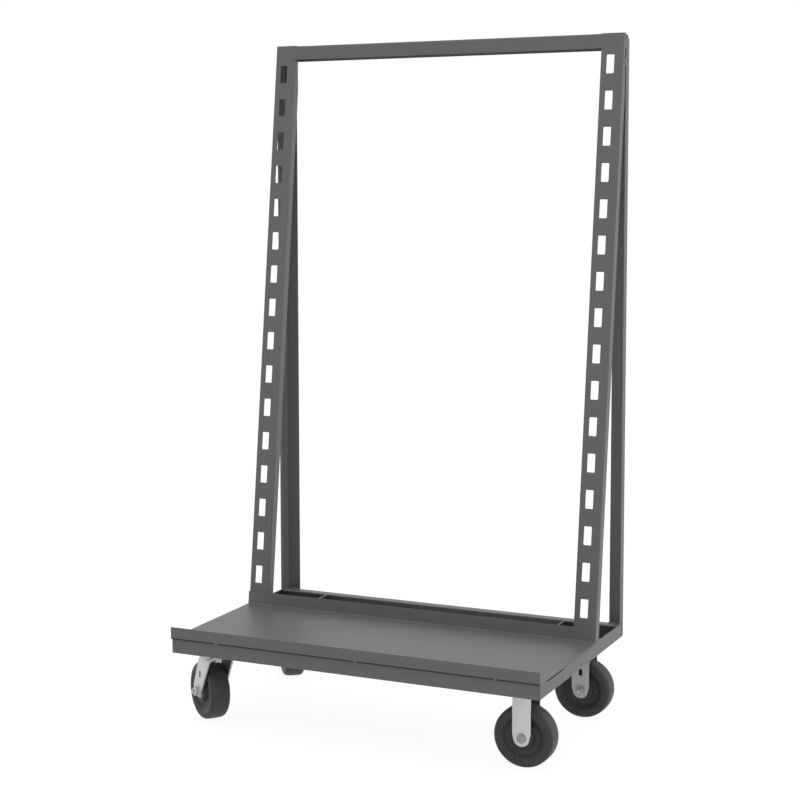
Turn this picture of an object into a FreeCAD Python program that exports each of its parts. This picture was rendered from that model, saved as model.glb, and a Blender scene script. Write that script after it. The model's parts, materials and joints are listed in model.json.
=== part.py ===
"""Adjustable tray truck: a welded steel base on four casters, with two slotted posts that lean back.

Millimetres. X runs along the truck to its right end, Y to the back and Z up. The origin is on the
floor under the middle of the base frame.
"""
import FreeCAD, Part
import math
import os
import re
import Sketcher

V = FreeCAD.Vector
FULL_TURN = 360
RIGHT, LEFT = 1, -1
SIDES = {"right": RIGHT, "left": LEFT}
START, FINISH, CENTRE = range(1, 4)  # the points of a sketch's line, arc or circle
ORIGIN = -1  # the sketch's own origin, among its lines
DECIMALS = 2  # lengths that agree to this many places count as the same

# The driving dimensions
SIZES = {
    # Base frame
    "frame_length": 914.4,  # base frame, left end to right end
    "frame_depth": 609.6,  # front face of the front rail to the back of the rear frame
    "caster_height": 182,  # floor to the underside of the base frame
    "angle_leg": 34.9,  # lying leg of the base rails, and back leg of the rear frame
    "rail_height": 34.9,  # upright leg of the base rails
    "frame_leg": 28,  # leg of the rear frame, front to back
    "steel": 2.7,  # wall of the formed angles and posts
    "angle_bend": 4,  # outer bend radius of the formed angles
    "relief_start": 41,  # front rail to the relief in a side rail's top edge
    "relief_length": 114,  # length of that relief
    "relief_depth": 2.2,  # depth of that relief
    "rear_web": 44,  # back of the rear frame to the face of the rear rail
    "rear_flange": 25.4,  # top flange of the rear rail, which points back
    "bolt_line": 22,  # heel of an angle to the line of the caster bolts
    # Rear frame and slotted posts
    "top_height": 1633.7,  # floor to the top of the slotted posts
    "head_step": 1.2,  # slotted posts above the top front rail
    "corner_radius": 13,  # rounded top corners of the rear frame
    "post_width": 54.8,  # face of a slotted post
    "post_flange": 25.4,  # depth of a slotted post, front to back
    "post_bend": 3.2,  # outer bend radius of a slotted post
    "post_setback": 385.8,  # front rail to the face of a post, at its foot
    "post_lead": 15.7,  # face of a post ahead of the rear frame, at its top
    "post_gap": 5,  # weld gap between a post's flanges and the rear frame
    "slot_pitch": 84.5,  # rise from slot to slot
    "slot_width": 19,  # width of a slot
    "slot_height": 43.7,  # height of a slot
    "slot_corner": 2,  # corner radius of a slot
    "slot_shift": 3.8,  # slots stand this far left of the post's middle
    "slot_start": 55.3,  # rails to the lowest slot
    "slot_head": 45,  # least height of plain post above the top slot
    # Base tray
    "tray_sheet": 1.9,  # wall of the base tray
    "tray_overhang": 0.9,  # base tray past each end of the frame
    "lip_lead": 5,  # front lip ahead of the front rail
    "lip_bend": 4,  # outer bend radius at the front lip
    "upstand_bend": 5,  # outer bend radius at the rear upstand
    "lip_height": 29,  # front lip above the rails
    "upstand_height": 33,  # rear upstand above the rails
    # Casters
    "front_setback": 104,  # front rail to the axis of the front rigid caster
    "bolt_edge": 12.85,  # rear rail to the line of the rearmost caster bolts
    "plate_length": 114.3,  # caster plate along the truck
    "plate_width": 101.6,  # caster plate across the truck
    "plate_wall": 5,  # thickness of a caster plate
    "plate_corner": 10,  # corner radius of a caster plate
    "bolt_span": 92,  # caster bolts apart, along the truck
    "bolt_reach": 66.7,  # caster bolts apart, across the truck
    "bolt_size": 9.5,  # caster bolt diameter
    "bolt_flats": 14.3,  # caster bolt head and nut, across flats
    "bolt_head": 6,  # height of a caster bolt head
    "bolt_nut": 8.3,  # height of a caster nut
    "washer_wall": 2.2,  # thickness of a lock washer
    "washer_size": 17,  # diameter of a lock washer
    "bolt_tail": 2.5,  # bolt end past its nut
    "hole_play": 0.8,  # bolt hole larger than its bolt
    "fork_wall": 4.5,  # thickness of a fork
    "fork_bend": 9,  # outer bend radius of a rigid fork's crown
    "crown_bend": 16,  # outer bend radius of a swivel fork's crown
    "leg_width": 42.5,  # width of a rigid fork's leg
    "leg_end": 18.4,  # radius of a rigid leg's lower end, around the axle
    "leg_shoulder": 9,  # axle up to where a leg starts to taper
    "leg_front": 35,  # swivel axis to the front of a swivel fork's crown
    "leg_back": 23,  # swivel axis to the back of that crown
    "knee_width": 49,  # width of a swivel fork's leg where its taper starts
    "leg_tip": 13,  # radius of a swivel leg's lower end, around the axle
    "window_width": 8.4,  # small window in one leg
    "window_height": 16,  # height of that window
    "window_rise": 45.2,  # axle to the middle of that window
    "window_back": 15.5,  # axle back to the middle of a swivel fork's window
    "trail": 38,  # swivel axis to axle on a swivel caster
    "front_turn": 143,  # direction in which the front swivel caster trails, degrees from +X
    "rear_turn": 126,  # direction in which the rear swivel caster trails
    # Swivel head
    "kingpin_size": 16,  # kingpin diameter
    "kingpin_head": 5,  # height of the kingpin's head
    "kingpin_cap": 28,  # diameter of the kingpin's head
    "kingpin_nut": 9,  # height of the kingpin's nut
    "kingpin_flats": 24,  # kingpin nut, across flats
    "kingpin_washer": 2.5,  # thickness of the washer under the crown
    "kingpin_collar": 34,  # diameter of that washer
    "race_wall": 5,  # height of each ball race
    "race_gap": 1.5,  # between the two races
    "race_width": 14,  # width of each ball race
    "ball_pitch": 48,  # diameter of the ring of balls
    "ball_size": 8,  # ball diameter
    "ball_count": 12,  # balls in a ring
    # Wheels
    "wheel_size": 139.7,  # wheel diameter
    "wheel_width": 50.8,  # width of the tread
    "tread_crown": 1.4,  # fall of the tread from its middle to its edge
    "tread_round": 4,  # radius of the tread's edges
    "rim_wall": 25,  # tread down to the recess in the wheel's face
    "web_wall": 27,  # thickness of the wheel between rim and hub
    "hub_size": 52,  # diameter of the hub
    "hub_length": 55,  # length of the hub
    "face_round": 2.5,  # radius of the hub's outer edges
    "recess_round": 7,  # radius of the edge of the recess
    "bearing_size": 30.2,  # bore of the hub, around the rollers
    "sleeve_size": 19,  # diameter of the axle sleeve
    "axle_size": 12.7,  # axle bolt diameter
    "axle_flats": 19,  # axle bolt head and nut, across flats
    "axle_head": 7.5,  # height of the axle bolt's head
    "axle_nut": 10.5,  # height of the axle nut
    "axle_tail": 4,  # axle bolt end past its nut
    "thrust_wall": 1.2,  # thickness of a thrust washer
    "thrust_size": 32,  # diameter of a thrust washer
    "roller_count": 8,  # rollers in a wheel bearing
    "cage_inset": 2.5,  # end of the hub to the end of the roller cage
    "cage_rim": 3,  # closed rim at each end of the cage
    "cage_wall": 3.2,  # wall of the roller cage
    "run_play": 0.05,  # radial clearance of a running fit
    "seat_play": 0.3,  # clearance between pieces that turn past each other
}
doc = FreeCAD.newDocument("tray_truck")
sheet = doc.addObject("Spreadsheet::Sheet", "Sizes")
for row, (alias, number) in enumerate(SIZES.items(), start=1):
    sheet.set(f"A{row}", alias)
    sheet.set(f"B{row}", str(number))
    sheet.setAlias(f"B{row}", alias)
doc.recompute()

# Places that several pieces share, as expressions of the sheet's sizes
FRONT = "(-frame_depth / 2)"
REAR = "(frame_depth / 2)"
END = "(frame_length / 2)"
RAIL_FLOOR = "(caster_height + steel)"
RAIL_TOP = "(caster_height + rail_height)"
FRONT_TOE = f"({FRONT} + angle_leg)"
REAR_FACE = f"({REAR} - rear_web)"
FRAME_EDGE = f"({REAR} - frame_leg)"
POST_FOOT = f"({FRONT} + post_setback)"
POST_HEAD = f"({FRAME_EDGE} - post_lead)"
POST_RISE = f"(top_height - {RAIL_TOP})"
POST_SLOPE = f"(({POST_HEAD} - {POST_FOOT}) / {POST_RISE})"
SLOT_RUN = f"({POST_RISE} - slot_start - slot_height - slot_head)"
HEAD_TOP = "(top_height - head_step)"
REAR_TOP = f"({HEAD_TOP} - steel)"
CASTER_X = f"({END} - bolt_line - bolt_span / 2)"
CROSS_X = f"({CASTER_X} - bolt_span / 2 - bolt_line)"
FRONT_AXIS = f"({FRONT} + front_setback)"
REAR_AXIS = f"({REAR_FACE} - bolt_edge - bolt_reach / 2)"
PLATE_UNDER = "(caster_height - plate_wall)"
CROWN_TOP = f"({PLATE_UNDER} - 2 * race_wall - race_gap)"
CROWN_UNDER = f"({CROWN_TOP} - fork_wall)"
RACE_OUTER = "(ball_pitch + race_width)"
RACE_INNER = "(ball_pitch - race_width)"
BALL_LEVEL = f"({PLATE_UNDER} - race_wall - race_gap / 2)"
AXLE_LEVEL = "(wheel_size / 2)"
FORK_GAP = "(hub_length + 2 * thrust_wall + 2 * seat_play)"
LEG_FACE = f"({FORK_GAP} / 2 + fork_wall)"
CAGE_LENGTH = "(hub_length - 2 * cage_inset)"
ROLLER_SIZE = "((bearing_size - sleeve_size) / 2 - 2 * run_play)"
ROLLER_RING = "((bearing_size + sleeve_size) / 4)"

# The axes of a side's front and rear casters: the left rail is the right one turned end for end
AXES = {"right": (FRONT_AXIS, REAR_AXIS), "left": (f"(-{REAR_AXIS})", f"(-{FRONT_AXIS})")}


def same(first, second):
    """Whether two lengths are the same, but for rounding."""
    return round(first - second, DECIMALS) == 0


def bound(expression):
    """The expression with the sheet's name put before each alias."""
    return re.sub(r"[a-z_]+", lambda m: f"Sizes.{m[0]}" if m[0] in SIZES else m[0], str(expression))


def value(expression):
    """The expression's present value as a plain number."""
    result = sheet.evalExpression(bound(expression))
    return float(getattr(result, "Value", result))


def bind(item, prop, expression):
    """Tie a property to an expression of the sheet's sizes."""
    item.setExpression(prop, bound(expression))


def new_body(label):
    """An empty body whose label is its node's name."""
    body = doc.addObject("PartDesign::Body", label)
    body.Label = label
    return body


def origin_feature(body, role):
    """One of the body's own origin planes or axes."""
    return next(item for item in body.Origin.OriginFeatures if item.Role == role)


def new_sketch(body, role, lift="0"):
    """A sketch on one of the body's origin planes, lifted along the plane's normal."""
    sketch = body.newObject("Sketcher::SketchObject", "outline")
    sketch.AttachmentSupport = [(origin_feature(body, role), "")]
    sketch.MapMode = "FlatFace"
    bind(sketch, "AttachmentOffset.Base.z", lift)
    return sketch


def limit(sketch, kind, expression, *where):
    """Add one dimension to a sketch and tie it to the sheet."""
    index = sketch.addConstraint(Sketcher.Constraint(kind, *where, value(expression)))
    bind(sketch, f"Constraints[{index}]", expression)


def pin(sketch, line, end, x, y):
    """Hold one end of a line, or a circle's centre, at a place in the sketch."""
    limit(sketch, "DistanceX", x, ORIGIN, START, line, end)
    limit(sketch, "DistanceY", y, ORIGIN, START, line, end)


def join(sketch, first, first_end, second, second_end):
    """Hold two ends together."""
    sketch.addConstraint(Sketcher.Constraint("Coincident", first, first_end, second, second_end))


def sketch_line(sketch, start, end, spot):
    """A line of a sketch whose first end is pinned."""
    line = sketch.addGeometry(Part.LineSegment(start, end))
    pin(sketch, line, START, *spot)
    return line


def arc_ends(sketch, arc, first):
    """The two ends of an arc, the one at a given place first."""
    forwards = same(sketch.getPoint(arc, START).distanceToPoint(first), 0)
    return (START, FINISH) if forwards else (FINISH, START)


def sign(number):
    """-1, 0 or 1, where a length of almost nothing counts as 0."""
    return 0 if same(number, 0) else int(math.copysign(1, number))


def outline(sketch, corners):
    """Draw a closed outline through corners (x, y) or, where square and rounded, (x, y, radius)."""
    spots = [V(value(c[0]), value(c[1]), 0) for c in corners]
    stops = []
    for i, corner in enumerate(corners):
        if len(corner) == 2:
            stops.append([(corner[0], corner[1])])
            continue
        x, y, radius = corner
        before, after = spots[i] - spots[i - 1], spots[(i + 1) % len(spots)] - spots[i]
        enter = (f"{x} - {radius} * {sign(before.x)}", f"{y} - {radius} * {sign(before.y)}")
        leave = (f"{x} + {radius} * {sign(after.x)}", f"{y} + {radius} * {sign(after.y)}")
        stops.append([enter, leave, radius])
    point = lambda place: V(value(place[0]), value(place[1]), 0)
    lines = []
    for i, stop in enumerate(stops):
        start, end = stop[min(1, len(stop) - 1)], stops[(i + 1) % len(stops)][0]
        lines.append(sketch_line(sketch, point(start), point(end), start))
    for i, stop in enumerate(stops):
        previous = lines[i - 1]
        if len(stop) == 1:
            join(sketch, previous, FINISH, lines[i], START)
            continue
        enter, leave, radius = point(stop[0]), point(stop[1]), value(stop[2])
        middle = spots[i] + (enter + leave - spots[i] * 2)
        bulge = middle + (spots[i] - middle).normalize() * radius
        index = sketch.addGeometry(Part.Arc(enter, bulge, leave))
        first, last = arc_ends(sketch, index, enter)
        pin(sketch, previous, FINISH, *stop[0])
        join(sketch, previous, FINISH, index, first)
        join(sketch, index, last, lines[i], START)
        limit(sketch, "Radius", stop[2], index)


def circle(sketch, x, y, diameter):
    """Draw a circle."""
    index = sketch.addGeometry(Part.Circle(V(value(x), value(y), 0), V(0, 0, 1), value(diameter) / 2))
    pin(sketch, index, CENTRE, x, y)
    limit(sketch, "Diameter", diameter, index)


def box(sketch, x_low, x_high, y_low, y_high):
    """Draw a rectangle."""
    outline(sketch, [(x_low, y_low), (x_high, y_low), (x_high, y_high), (x_low, y_high)])


def hexagon(sketch, flats):
    """Draw a hexagon about the sketch's origin, by its width across flats."""
    corner_count = 6
    turns = [f"{FULL_TURN * i / corner_count} deg" for i in range(corner_count)]
    outline(sketch, [(f"{flats} / sqrt(3) * cos({t})", f"{flats} / sqrt(3) * sin({t})") for t in turns])


def pad(body, sketch, length, way="up"):
    """Extrude a sketch along its normal (up), against it (down) or both ways (both)."""
    feature = body.newObject("PartDesign::Pad", "pad")
    feature.Profile = sketch
    bind(feature, "Length", length)
    feature.Reversed = way == "down"
    feature.SideType = "Symmetric" if way == "both" else "One side"
    doc.recompute()
    return feature


def pocket(body, sketch, length=None, way="both"):
    """Cut a sketch through the body, or to a depth along (up) or against (down) its normal."""
    volume = body.Shape.Volume
    feature = body.newObject("PartDesign::Pocket", "pocket")
    feature.Profile = sketch
    feature.Type = "Length" if length else "ThroughAll"
    if length:
        bind(feature, "Length", length)
    feature.SideType = "Symmetric" if way == "both" else "One side"
    feature.Reversed = way == "up"
    doc.recompute()
    if same(body.Shape.Volume, volume):
        raise ValueError(f"a pocket in {body.Label} cuts nothing")
    return feature


def revolve(body, sketch, kind="PartDesign::Revolution", axis="H_Axis"):
    """Turn a sketch about one of its own axes, to add or, as a groove, to cut."""
    feature = body.newObject(kind, "turned")
    feature.Profile = sketch
    feature.ReferenceAxis = (sketch, [axis])
    feature.Angle = FULL_TURN
    doc.recompute()
    return feature


def round_edges(body, radius, test):
    """Fillet the edges of the body's present shape whose middles pass a test."""
    tip = body.Tip
    names = [f"Edge{i + 1}" for i, edge in enumerate(tip.Shape.Edges) if test(edge.CenterOfMass)]
    feature = body.newObject("PartDesign::Fillet", "rounding")
    feature.Base = (tip, names)
    bind(feature, "Radius", radius)
    doc.recompute()
    return feature


def at(first, second, axes="yz"):
    """A test for edges that run square to two axes, past a given place."""
    a, b = value(first), value(second)
    return lambda c: same(getattr(c, axes[0]), a) and same(getattr(c, axes[1]), b)


def group(label, solids):
    """One node of several separate solids."""
    item = doc.addObject("Part::Feature", label)
    item.Label = label
    item.Shape = Part.makeCompound(solids)
    return item


def moved(shape, placement):
    """A copy of a shape at a placement."""
    copy = shape.copy()
    copy.Placement = placement.multiply(copy.Placement)
    return copy


def base_rails():
    """The front and rear rails, between them the side rails and the cross members."""
    rail = new_body("front_rail")
    low, high = "caster_height", RAIL_TOP
    face, inside = FRONT, f"({FRONT} + steel)"
    section = new_sketch(rail, "YZ_Plane")
    outline(section, [
        (face, low), (FRONT_TOE, low), (FRONT_TOE, RAIL_FLOOR),
        (inside, RAIL_FLOOR), (inside, high), (face, high)])
    pad(rail, section, "frame_length", "both")
    round_edges(rail, "angle_bend", at(face, low))
    round_edges(rail, "angle_bend - steel", at(inside, RAIL_FLOOR))
    cope = new_sketch(rail, "XY_Plane")
    for side in SIDES.values():
        ends = sorted([f"({side} * ({END} - steel))", f"({side} * ({END} + steel))"], key=value)
        box(cope, *ends, inside, f"({FRONT_TOE} + steel)")
    pocket(rail, cope)

    rail = new_body("rear_rail")
    web, lip, ceiling = f"({REAR_FACE} + steel)", f"({REAR_FACE} + rear_flange)", f"({RAIL_TOP} - steel)"
    section = new_sketch(rail, "YZ_Plane")
    outline(section, [
        (REAR_FACE, low), (web, low), (web, ceiling), (lip, ceiling), (lip, high), (REAR_FACE, high)])
    pad(rail, section, "frame_length - 2 * steel", "both")
    round_edges(rail, "angle_bend", at(REAR_FACE, high))
    round_edges(rail, "angle_bend - steel", at(web, ceiling))
    cope = new_sketch(rail, "XZ_Plane")
    for side in SIDES.values():
        ends = sorted([f"({side} * ({END} - angle_leg))", f"({side} * {END})"], key=value)
        box(cope, *ends, f"({low} - steel)", f"({low} + angle_bend)")
    pocket(rail, cope)

    for name, side in SIDES.items():
        side_rail(name, side, inside)
        heel, ends = f"({side} * {CROSS_X})", (FRONT_TOE, REAR_FACE)
        lengthwise_angle(f"{name}_cross_member", heel, side, ends, AXES[name])


def lengthwise_angle(label, heel, inward, ends, axes):
    """An angle from front to back, whose bottom leg carries the caster bolts."""
    body = new_body(label)
    low, high, (start, stop) = "caster_height", RAIL_TOP, ends
    wall, toe = f"({heel} + {inward} * steel)", f"({heel} + {inward} * angle_leg)"
    section = new_sketch(body, "XZ_Plane", f"-{start}")
    outline(section, [
        (heel, low), (heel, high), (wall, high), (wall, RAIL_FLOOR), (toe, RAIL_FLOOR), (toe, low)])
    pad(body, section, f"{stop} - {start}", "down")
    round_edges(body, "angle_bend", at(heel, low, "xz"))
    round_edges(body, "angle_bend - steel", at(wall, RAIL_FLOOR, "xz"))
    holes = new_sketch(body, "XY_Plane")
    for axis in axes:
        for step in (-1, 1):
            spot = f"({axis} + {step} * bolt_reach / 2)"
            circle(holes, f"{heel} + {inward} * bolt_line", spot, "bolt_size + hole_play")
    pocket(body, holes)
    return body


def side_rail(name, side, start):
    """A lengthwise angle, coped over the front rail and relieved along its top edge."""
    heel = f"({side} * {END})"
    body = lengthwise_angle(f"{name}_side_rail", heel, -side, (start, FRAME_EDGE), AXES[name])
    cope = new_sketch(body, "XY_Plane")
    legs = sorted([f"({heel} - {side} * steel)", f"({heel} - {side} * (angle_leg + steel))"], key=value)
    box(cope, *legs, f"({start} - steel)", FRONT_TOE)
    pocket(body, cope)
    relief = new_sketch(body, "YZ_Plane")
    near = f"({FRONT} + relief_start)"
    box(relief, near, f"({near} + relief_length)", f"({RAIL_TOP} - relief_depth)", f"({RAIL_TOP} + steel)")
    pocket(body, relief)


def rear_frame():
    """One angle, notched and bent at its top corners: two uprights and the bar between them."""
    body = new_body("rear_frame")

    def arch(inset, radius):
        x, top = f"({END} - {inset})", f"({REAR_TOP} - {inset})"
        corner = [radius] if radius else []
        return [(f"-{x}", RAIL_FLOOR), (f"-{x}", top, *corner), (x, top, *corner), (x, RAIL_FLOOR)]

    back_leg = arch("angle_leg", None)
    side_leg = arch("steel", "(corner_radius - steel)")
    for inner, depth in ((back_leg, "steel"), (side_leg, "frame_leg")):
        section = new_sketch(body, "XZ_Plane", f"-{REAR}")
        outline(section, arch("0", "corner_radius") + inner[::-1])
        pad(body, section, depth)
    back, end, top, half_leg = value(REAR), value(END), value(REAR_TOP), value("angle_leg / 2")
    outer = lambda c: abs(c.x) > end - half_leg or c.z > top - half_leg
    foot = value(RAIL_FLOOR)
    round_edges(body, "angle_bend", lambda c: same(c.y, back) and not same(c.z, foot) and outer(c))


def top_front_rail():
    """The angle between the posts' heads; its top leg lies on the bar of the rear frame."""
    body = new_body("top_front_rail")
    face, inside, toe = POST_HEAD, f"({POST_HEAD} + steel)", f"({POST_HEAD} + angle_leg)"
    ceiling, hem = REAR_TOP, "(top_height - angle_leg)"
    section = new_sketch(body, "YZ_Plane")
    outline(section, [
        (face, hem), (face, HEAD_TOP), (toe, HEAD_TOP), (toe, ceiling), (inside, ceiling), (inside, hem)])
    pad(body, section, "frame_length - 2 * post_width", "both")
    round_edges(body, "angle_bend", at(face, HEAD_TOP))
    round_edges(body, "angle_bend - steel", at(inside, ceiling))


def slotted_post(label, side):
    """A formed channel that leans back, with a column of slots for hanging trays."""
    body = new_body(label)
    middle = f"({side} * (frame_length - post_width) / 2)"
    left, right = f"({middle} - post_width / 2)", f"({middle} + post_width / 2)"
    inner_left, inner_right = f"({left} + steel)", f"({right} - steel)"
    face, web, toe = POST_FOOT, f"({POST_FOOT} + steel)", f"({POST_FOOT} + post_flange)"
    bend, inner_bend = "post_bend", "(post_bend - steel)"
    section = new_sketch(body, "XY_Plane", RAIL_TOP)
    outline(section, [
        (left, toe), (left, face, bend), (right, face, bend), (right, toe), (inner_right, toe),
        (inner_right, web, inner_bend), (inner_left, web, inner_bend), (inner_left, toe)])
    column = pad(body, section, POST_RISE)
    column.UseCustomVector = True
    column.AlongSketchNormal = True
    bind(column, "Direction.x", "0")
    bind(column, "Direction.y", POST_SLOPE)
    bind(column, "Direction.z", "1")
    doc.recompute()

    trim = new_sketch(body, "YZ_Plane")
    clear = f"({FRAME_EDGE} - post_gap)"
    box(trim, clear, f"({clear} + 2 * post_flange)", RAIL_TOP, "(top_height + post_flange)")
    pocket(body, trim)

    centre = f"({middle} - slot_shift)"
    low = f"({RAIL_TOP} + slot_start)"
    high = f"({low} + slot_height)"
    near, far = f"({centre} - slot_width / 2)", f"({centre} + slot_width / 2)"
    shape = new_sketch(body, "XZ_Plane")
    outline(shape, [(x, z, "slot_corner") for x, z in ((near, low), (far, low), (far, high), (near, high))])
    slot = pocket(body, shape)
    column_of_slots = body.newObject("PartDesign::LinearPattern", "slots")
    column_of_slots.Originals = [slot]
    column_of_slots.Direction = (origin_feature(body, "Z_Axis"), [""])
    column_of_slots.Mode = "Spacing"
    bind(column_of_slots, "Offset", "slot_pitch")
    bind(column_of_slots, "Occurrences", f"floor({SLOT_RUN} / slot_pitch) + 1")
    body.Tip = column_of_slots
    doc.recompute()


def base_tray():
    """One bent sheet on the rails: a front lip, the deck, and an upstand against the posts."""
    body = new_body("base_tray")
    deck, lip_top = f"({RAIL_TOP} + tray_sheet)", f"({RAIL_TOP} + lip_height)"
    lip = f"({FRONT} - lip_lead)"
    lip_inside = f"({lip} + tray_sheet)"
    slant = f"sqrt(1 + {POST_SLOPE} * {POST_SLOPE})"
    crest = (f"({POST_FOOT} + upstand_height * {POST_SLOPE})", f"({RAIL_TOP} + upstand_height)")
    inwards, upwards = f"tray_sheet / {slant}", f"tray_sheet * {POST_SLOPE} / {slant}"
    crest_inside = (f"{crest[0]} - {inwards}", f"{crest[1]} + {upwards}")
    heel = f"({POST_FOOT} - tray_sheet * {slant} + tray_sheet * {POST_SLOPE})"
    section = new_sketch(body, "YZ_Plane")
    outline(section, [
        (lip, lip_top), (lip, RAIL_TOP, "lip_bend"), (POST_FOOT, RAIL_TOP), crest,
        crest_inside, (heel, deck), (lip_inside, deck, "(lip_bend - tray_sheet)"), (lip_inside, lip_top)])
    pad(body, section, "frame_length + 2 * tray_overhang", "both")
    round_edges(body, "upstand_bend", at(POST_FOOT, RAIL_TOP))
    round_edges(body, "upstand_bend - tray_sheet", at(heel, deck))


class Caster:
    """Where one caster stands, how it is turned, and whether it swivels."""

    def __init__(self, name, turn, swivels):
        self.name, self.turn, self.swivels = name, turn, swivels
        end, side = name.split("_")
        front, rear = AXES[side]
        self.x, self.y = f"({SIDES[side]} * {CASTER_X})", front if end == "front" else rear
        self.trail = "trail" if swivels else "0"

    def place(self, body, at_wheel=False, turned=True):
        """Move a piece to the caster's upright axis, or to the middle of its wheel."""
        reach = f"{self.trail} * " if at_wheel else "0 * "
        bind(body, "Placement.Base.x", f"{self.x} + {reach}cos({self.turn} * 1 deg)")
        bind(body, "Placement.Base.y", f"{self.y} + {reach}sin({self.turn} * 1 deg)")
        bind(body, "Placement.Base.z", AXLE_LEVEL if at_wheel else "0")
        bind(body, "Placement.Rotation.Angle", f"{self.turn} * 1 deg" if turned else "0 deg")
        doc.recompute()


CASTERS = [
    Caster("front_right", "0", False),
    Caster("rear_right", f"{FULL_TURN / 2}", False),
    Caster("front_left", "front_turn", True),
    Caster("rear_left", "rear_turn", True),
]


def ring(body, lift, outer, inner, length, way="up"):
    """A flat ring about the body's Z axis."""
    shape = new_sketch(body, "XY_Plane", lift)
    circle(shape, "0", "0", outer)
    circle(shape, "0", "0", inner)
    pad(body, shape, length, way)


def ball_groove(body):
    """Cut the track of the balls into a race."""
    volume = body.Shape.Volume
    track = new_sketch(body, "XZ_Plane")
    circle(track, "ball_pitch / 2", BALL_LEVEL, "ball_size + 2 * seat_play")
    revolve(body, track, "PartDesign::Groove", "V_Axis")
    if same(body.Shape.Volume, volume):
        raise ValueError(f"the ball track in {body.Label} cuts nothing")


def caster_plate(caster):
    """The flat plate that is bolted under the frame; a swivel plate also holds the upper race."""
    body = new_body(f"{caster.name}_caster_plate")
    shape = new_sketch(body, "XY_Plane", PLATE_UNDER)
    x, y, corner = "(plate_length / 2)", "(plate_width / 2)", "plate_corner"
    outline(shape, [(f"-{x}", f"-{y}", corner), (x, f"-{y}", corner), (x, y, corner), (f"-{x}", y, corner)])
    pad(body, shape, "plate_wall")
    if caster.swivels:
        ring(body, PLATE_UNDER, RACE_OUTER, RACE_INNER, "race_wall", "down")
        ball_groove(body)
    holes = new_sketch(body, "XY_Plane")
    for i in (-1, 1):
        for j in (-1, 1):
            circle(holes, f"{i} * bolt_span / 2", f"{j} * bolt_reach / 2", "bolt_size + hole_play")
    if caster.swivels:
        circle(holes, "0", "0", "kingpin_size + 2 * run_play")
    pocket(body, holes)
    caster.place(body, turned=False)


def leg_outline(sketch, caster, top, end_radius):
    """The side of a fork: a crown, and legs that taper to a round end about the axle."""
    shoulder = f"({AXLE_LEVEL} + leg_shoulder)"
    if caster.swivels:
        knee = "(knee_width / 2)"
        falling = [("leg_back", top), ("leg_back", CROWN_TOP), (f"(trail + {knee})", shoulder)]
        rising = [(f"(trail - {knee})", shoulder), ("-leg_front", CROWN_TOP), ("-leg_front", top)]
    else:
        half = "(leg_width / 2)"
        falling = [(half, top), (half, shoulder)]
        rising = [(f"-{half}", shoulder), (f"-{half}", top)]
    spots = falling + rising
    points = [V(value(x), value(y), 0) for x, y in spots]
    centre, radius = V(value(caster.trail), value(AXLE_LEVEL), 0), value(end_radius)

    def touch(point, side):
        gap = centre - point
        turn = math.atan2(-gap.y, -gap.x) - side * math.acos(radius / gap.Length)
        return centre + V(math.cos(turn), math.sin(turn), 0) * radius, turn

    last, first = len(falling) - 1, len(falling)
    right, right_turn = touch(points[last], RIGHT)
    left, left_turn = touch(points[first], LEFT)
    following = points[1:] + points[:1]
    following[last] = right
    lines = [sketch_line(sketch, *ends) for ends in zip(points, following, spots)]
    rim = Part.ArcOfCircle(Part.Circle(centre, V(0, 0, 1), radius), left_turn, right_turn + math.tau)
    end_arc = sketch.addGeometry(rim)
    riser = sketch.addGeometry(Part.LineSegment(left, points[first]))
    for i, line in enumerate(lines):
        join(sketch, riser if i == last else line, FINISH, lines[(i + 1) % len(lines)], START)
    pin(sketch, end_arc, CENTRE, caster.trail, AXLE_LEVEL)
    limit(sketch, "Radius", end_radius, end_arc)
    sketch.addConstraint(Sketcher.Constraint("Tangent", lines[last], FINISH, end_arc, FINISH))
    sketch.addConstraint(Sketcher.Constraint("Tangent", end_arc, START, riser, START))


def fork(caster):
    """A strap bent to a U over the wheel, cut to its side outline, with a window in one leg."""
    body = new_body(f"{caster.name}_fork")
    top = CROWN_TOP if caster.swivels else PLATE_UNDER
    bend = "crown_bend" if caster.swivels else "fork_bend"
    end_radius = "leg_tip" if caster.swivels else "leg_end"
    span = "(2 * (trail + knee_width))" if caster.swivels else "leg_width"
    outer, inner, low = LEG_FACE, f"({FORK_GAP} / 2)", f"({AXLE_LEVEL} - {end_radius})"
    inner_bend, under = f"({bend} - fork_wall)", f"({top} - fork_wall)"
    section = new_sketch(body, "YZ_Plane")
    outline(section, [
        (f"-{outer}", low), (f"-{outer}", top, bend), (outer, top, bend), (outer, low),
        (inner, low), (inner, under, inner_bend), (f"-{inner}", under, inner_bend), (f"-{inner}", low)])
    pad(body, section, span, "both")
    side = new_sketch(body, "XZ_Plane")
    leg_outline(side, caster, f"({top} + fork_wall)", end_radius)
    box(side, f"-{span}", span, f"({low} - fork_wall)", f"({top} + 2 * fork_wall)")
    pocket(body, side)
    if caster.swivels:
        ring(body, CROWN_UNDER, RACE_OUTER, RACE_INNER, "fork_wall + race_wall")
        ball_groove(body)
        bore = new_sketch(body, "XY_Plane")
        circle(bore, "0", "0", "kingpin_size + 2 * run_play")
        pocket(body, bore)
    axle = new_sketch(body, "XZ_Plane")
    circle(axle, caster.trail, AXLE_LEVEL, "axle_size + 2 * run_play")
    pocket(body, axle)
    window = new_sketch(body, "XZ_Plane")
    middle = "(trail - window_back)" if caster.swivels else "0"
    level = f"({AXLE_LEVEL} + window_rise)"
    box(window, f"{middle} - window_width / 2", f"{middle} + window_width / 2",
        f"{level} - window_height / 2", f"{level} + window_height / 2")
    pocket(body, window, f"2 * {LEG_FACE}", "down")
    caster.place(body)


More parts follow.
